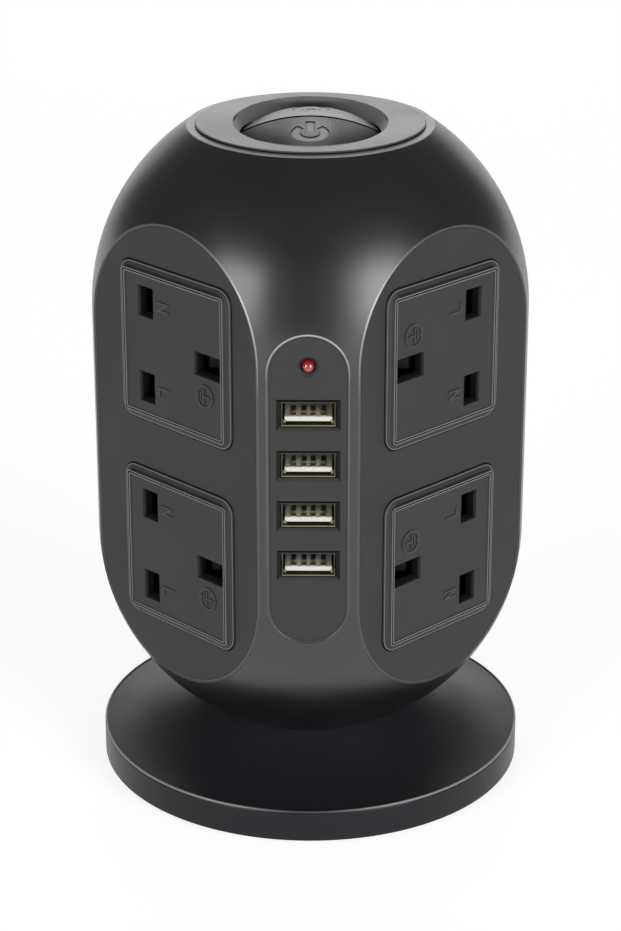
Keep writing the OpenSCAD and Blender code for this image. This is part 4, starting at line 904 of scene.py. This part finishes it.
def power_symbol(bm, middle, low, high, inset):
    """A ring that opens towards the crest, with a bar in its opening, laid on the arched face."""
    towards = -1 if middle > 0 else 1
    inner, outer = SYMBOL_INNER_R + inset, SYMBOL_R - inset
    rings = 5
    row = [bm.verts.new((inner + (outer - inner) * i / (rings - 1), 0, 0)) for i in range(rings)]
    edges = [bm.edges.new((row[i], row[i + 1])) for i in range(rings - 1)]
    half_gap = SYMBOL_OPENING / 2 + inset / outer
    start = math.radians(90) * towards + half_gap
    bmesh.ops.rotate(bm, cent=(0, 0, 0), matrix=Matrix.Rotation(start, 3, "Z"), verts=row)
    bmesh.ops.spin(bm, geom=edges, cent=(0, 0, 0), axis=(0, 0, 1), angle=2 * math.pi - 2 * half_gap,
                   steps=60)
    bmesh.ops.scale(bm, vec=(1, SYMBOL_SQUASH, 1), verts=bm.verts)
    width = BAR_WIDE - 2 * inset
    bar = bmesh.ops.create_grid(bm, x_segments=4, y_segments=10, size=0.5)["verts"]
    bmesh.ops.scale(bm, vec=(width, BAR_LONG - 2 * inset, 1), verts=bar)
    bmesh.ops.translate(bm, vec=(0, towards * (BAR_REACH - BAR_LONG / 2), 0), verts=bar)
    bmesh.ops.translate(bm, vec=(0, middle, 0), verts=bm.verts)
    flat = list(bm.verts)
    grown = bmesh.ops.extrude_face_region(bm, geom=list(bm.faces), use_keep_orig=True)
    tops = set(moved_verts(grown))
    for vert in bm.verts:
        x, y, _ = vert.co
        vert.co.z = on_arch(x, y) + (high if vert in tops else low)
    return flat


def mesh_object(bm, name, *materials):
    bmesh.ops.recalc_face_normals(bm, faces=bm.faces)
    mesh = bpy.data.meshes.new(name)
    bm.to_mesh(mesh)
    bm.free()
    for material in materials:
        mesh.materials.append(material)
    made = bpy.data.objects.new(name, mesh)
    bpy.context.scene.collection.objects.link(made)
    return made


def make_rocker():
    """The rocker with its near face slightly swollen and given painted light, painted shade in its groove, and a
    power symbol cut into each half with painted shade on the cut walls.
    """
    shade = FINISHES["rocker_grey"]
    painted_shade = FINISHES["shadow_gap"]
    bm = bmesh.new()
    bm.from_mesh(frame["nodes"]["rocker"].data)
    bmesh.ops.remove_doubles(bm, verts=bm.verts, dist=0.002 * MM)
    for i in range(1, 16):
        bmesh.ops.bisect_plane(bm, geom=list(bm.verts) + list(bm.edges) + list(bm.faces), dist=0.0005 * MM,
                               plane_co=(0, -MOUTH_R * i / 16, 0), plane_no=(0, 1, 0))
    place = face_frame(NEAR_SLOPE)
    back = place.inverted()
    for vert in bm.verts:
        own = back @ vert.co
        if own.y < 0 and abs(math.hypot(own.x, own.z + ARCH_R) - ARCH_R) < 0.03 * MM:
            own.z += belly(own.y)
            vert.co = place @ own
    crest = crest_height()
    for face in bm.faces:
        middle = face.calc_center_median()
        in_groove = abs(middle.y) < GROOVE_W / 2 + 0.01 * MM and abs(middle.x) < MOUTH_R
        arch = crest - ARCH_R + math.sqrt(max(0.0, ARCH_R ** 2 - middle.x ** 2))
        own = back @ middle
        near = own.y < 0 and own.z > math.sqrt(max(0.0, ARCH_R ** 2 - own.x ** 2)) - ARCH_R - 0.03 * MM
        # Groove faces get painted shade; the near face gets painted light.
        face.material_index = 1 if in_groove and middle.z > arch - GROOVE_DEPTH - 0.2 * MM else 2 if near else 0
        face.smooth = False
    body = mesh_object(bm, "rocker_blank", shade, painted_shade, FINISHES["near_face_painted_light"])
    for name, slope, middle, fill in (("near", NEAR_SLOPE, NEAR_SYMBOL_Y, NEAR_FILL),
                                      ("far", FAR_SLOPE, FAR_SYMBOL_Y, FAR_FILL)):
        bm = bmesh.new()
        power_symbol(bm, middle, -SYMBOL_DEPTH, SYMBOL_DEPTH, 0.0)
        bmesh.ops.transform(bm, matrix=face_frame(slope), verts=bm.verts)
        # The cutter's black finish passes to the cut walls as painted shade.
        cutter = mesh_object(bm, "cutter", painted_shade)
        cut = body.modifiers.new("cut", "BOOLEAN")
        cut.operation = "DIFFERENCE"
        cut.solver = "EXACT"
        cut.material_mode = "TRANSFER"
        cut.object = cutter
        bpy.context.view_layer.update()
        carved = bpy.data.meshes.new_from_object(body.evaluated_get(bpy.context.evaluated_depsgraph_get()))
        body.modifiers.clear()
        body.data = carved
        bpy.data.objects.remove(cutter, do_unlink=True)

        bm = bmesh.new()
        power_symbol(bm, middle, -SYMBOL_DEPTH - SKIN, -SYMBOL_DEPTH + fill, 0.02 * MM)
        bmesh.ops.transform(bm, matrix=face_frame(slope), verts=bm.verts)
        bmesh.ops.scale(bm, vec=(ROCKER_TRIM, ROCKER_TRIM, 1), verts=bm.verts)
        new_piece(bm, f"power_symbol_{name}", "rocker", "rocker_grey", FINISHES["symbol_grey"])
    bm = bmesh.new()
    bm.from_mesh(body.data)
    materials = list(body.data.materials)
    bmesh.ops.scale(bm, vec=(ROCKER_TRIM, ROCKER_TRIM, 1), verts=bm.verts)
    bpy.data.objects.remove(body, do_unlink=True)
    piece = new_piece(bm, "rocker_engraved", "rocker", "rocker_grey", *materials)
    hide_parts("rocker")


def dress_nodes():
    slots = {row["node"]: row["material_slot"] for row in frame["record"]["subparts"]}
    for node, obj in frame["nodes"].items():
        obj.data.materials.clear()
        obj.data.materials.append(FINISHES[slots[node]])


make_camera()
make_studio()
dress_nodes()
for side in FACES:
    for level in LEVELS:
        make_plate_marks(side, level)
        make_plate(side, level)
make_port_details()
make_port_panel()
make_port_shells()
make_edge_beads()
make_rim_line()
make_bezel_edges()
make_collar()
make_rocker()
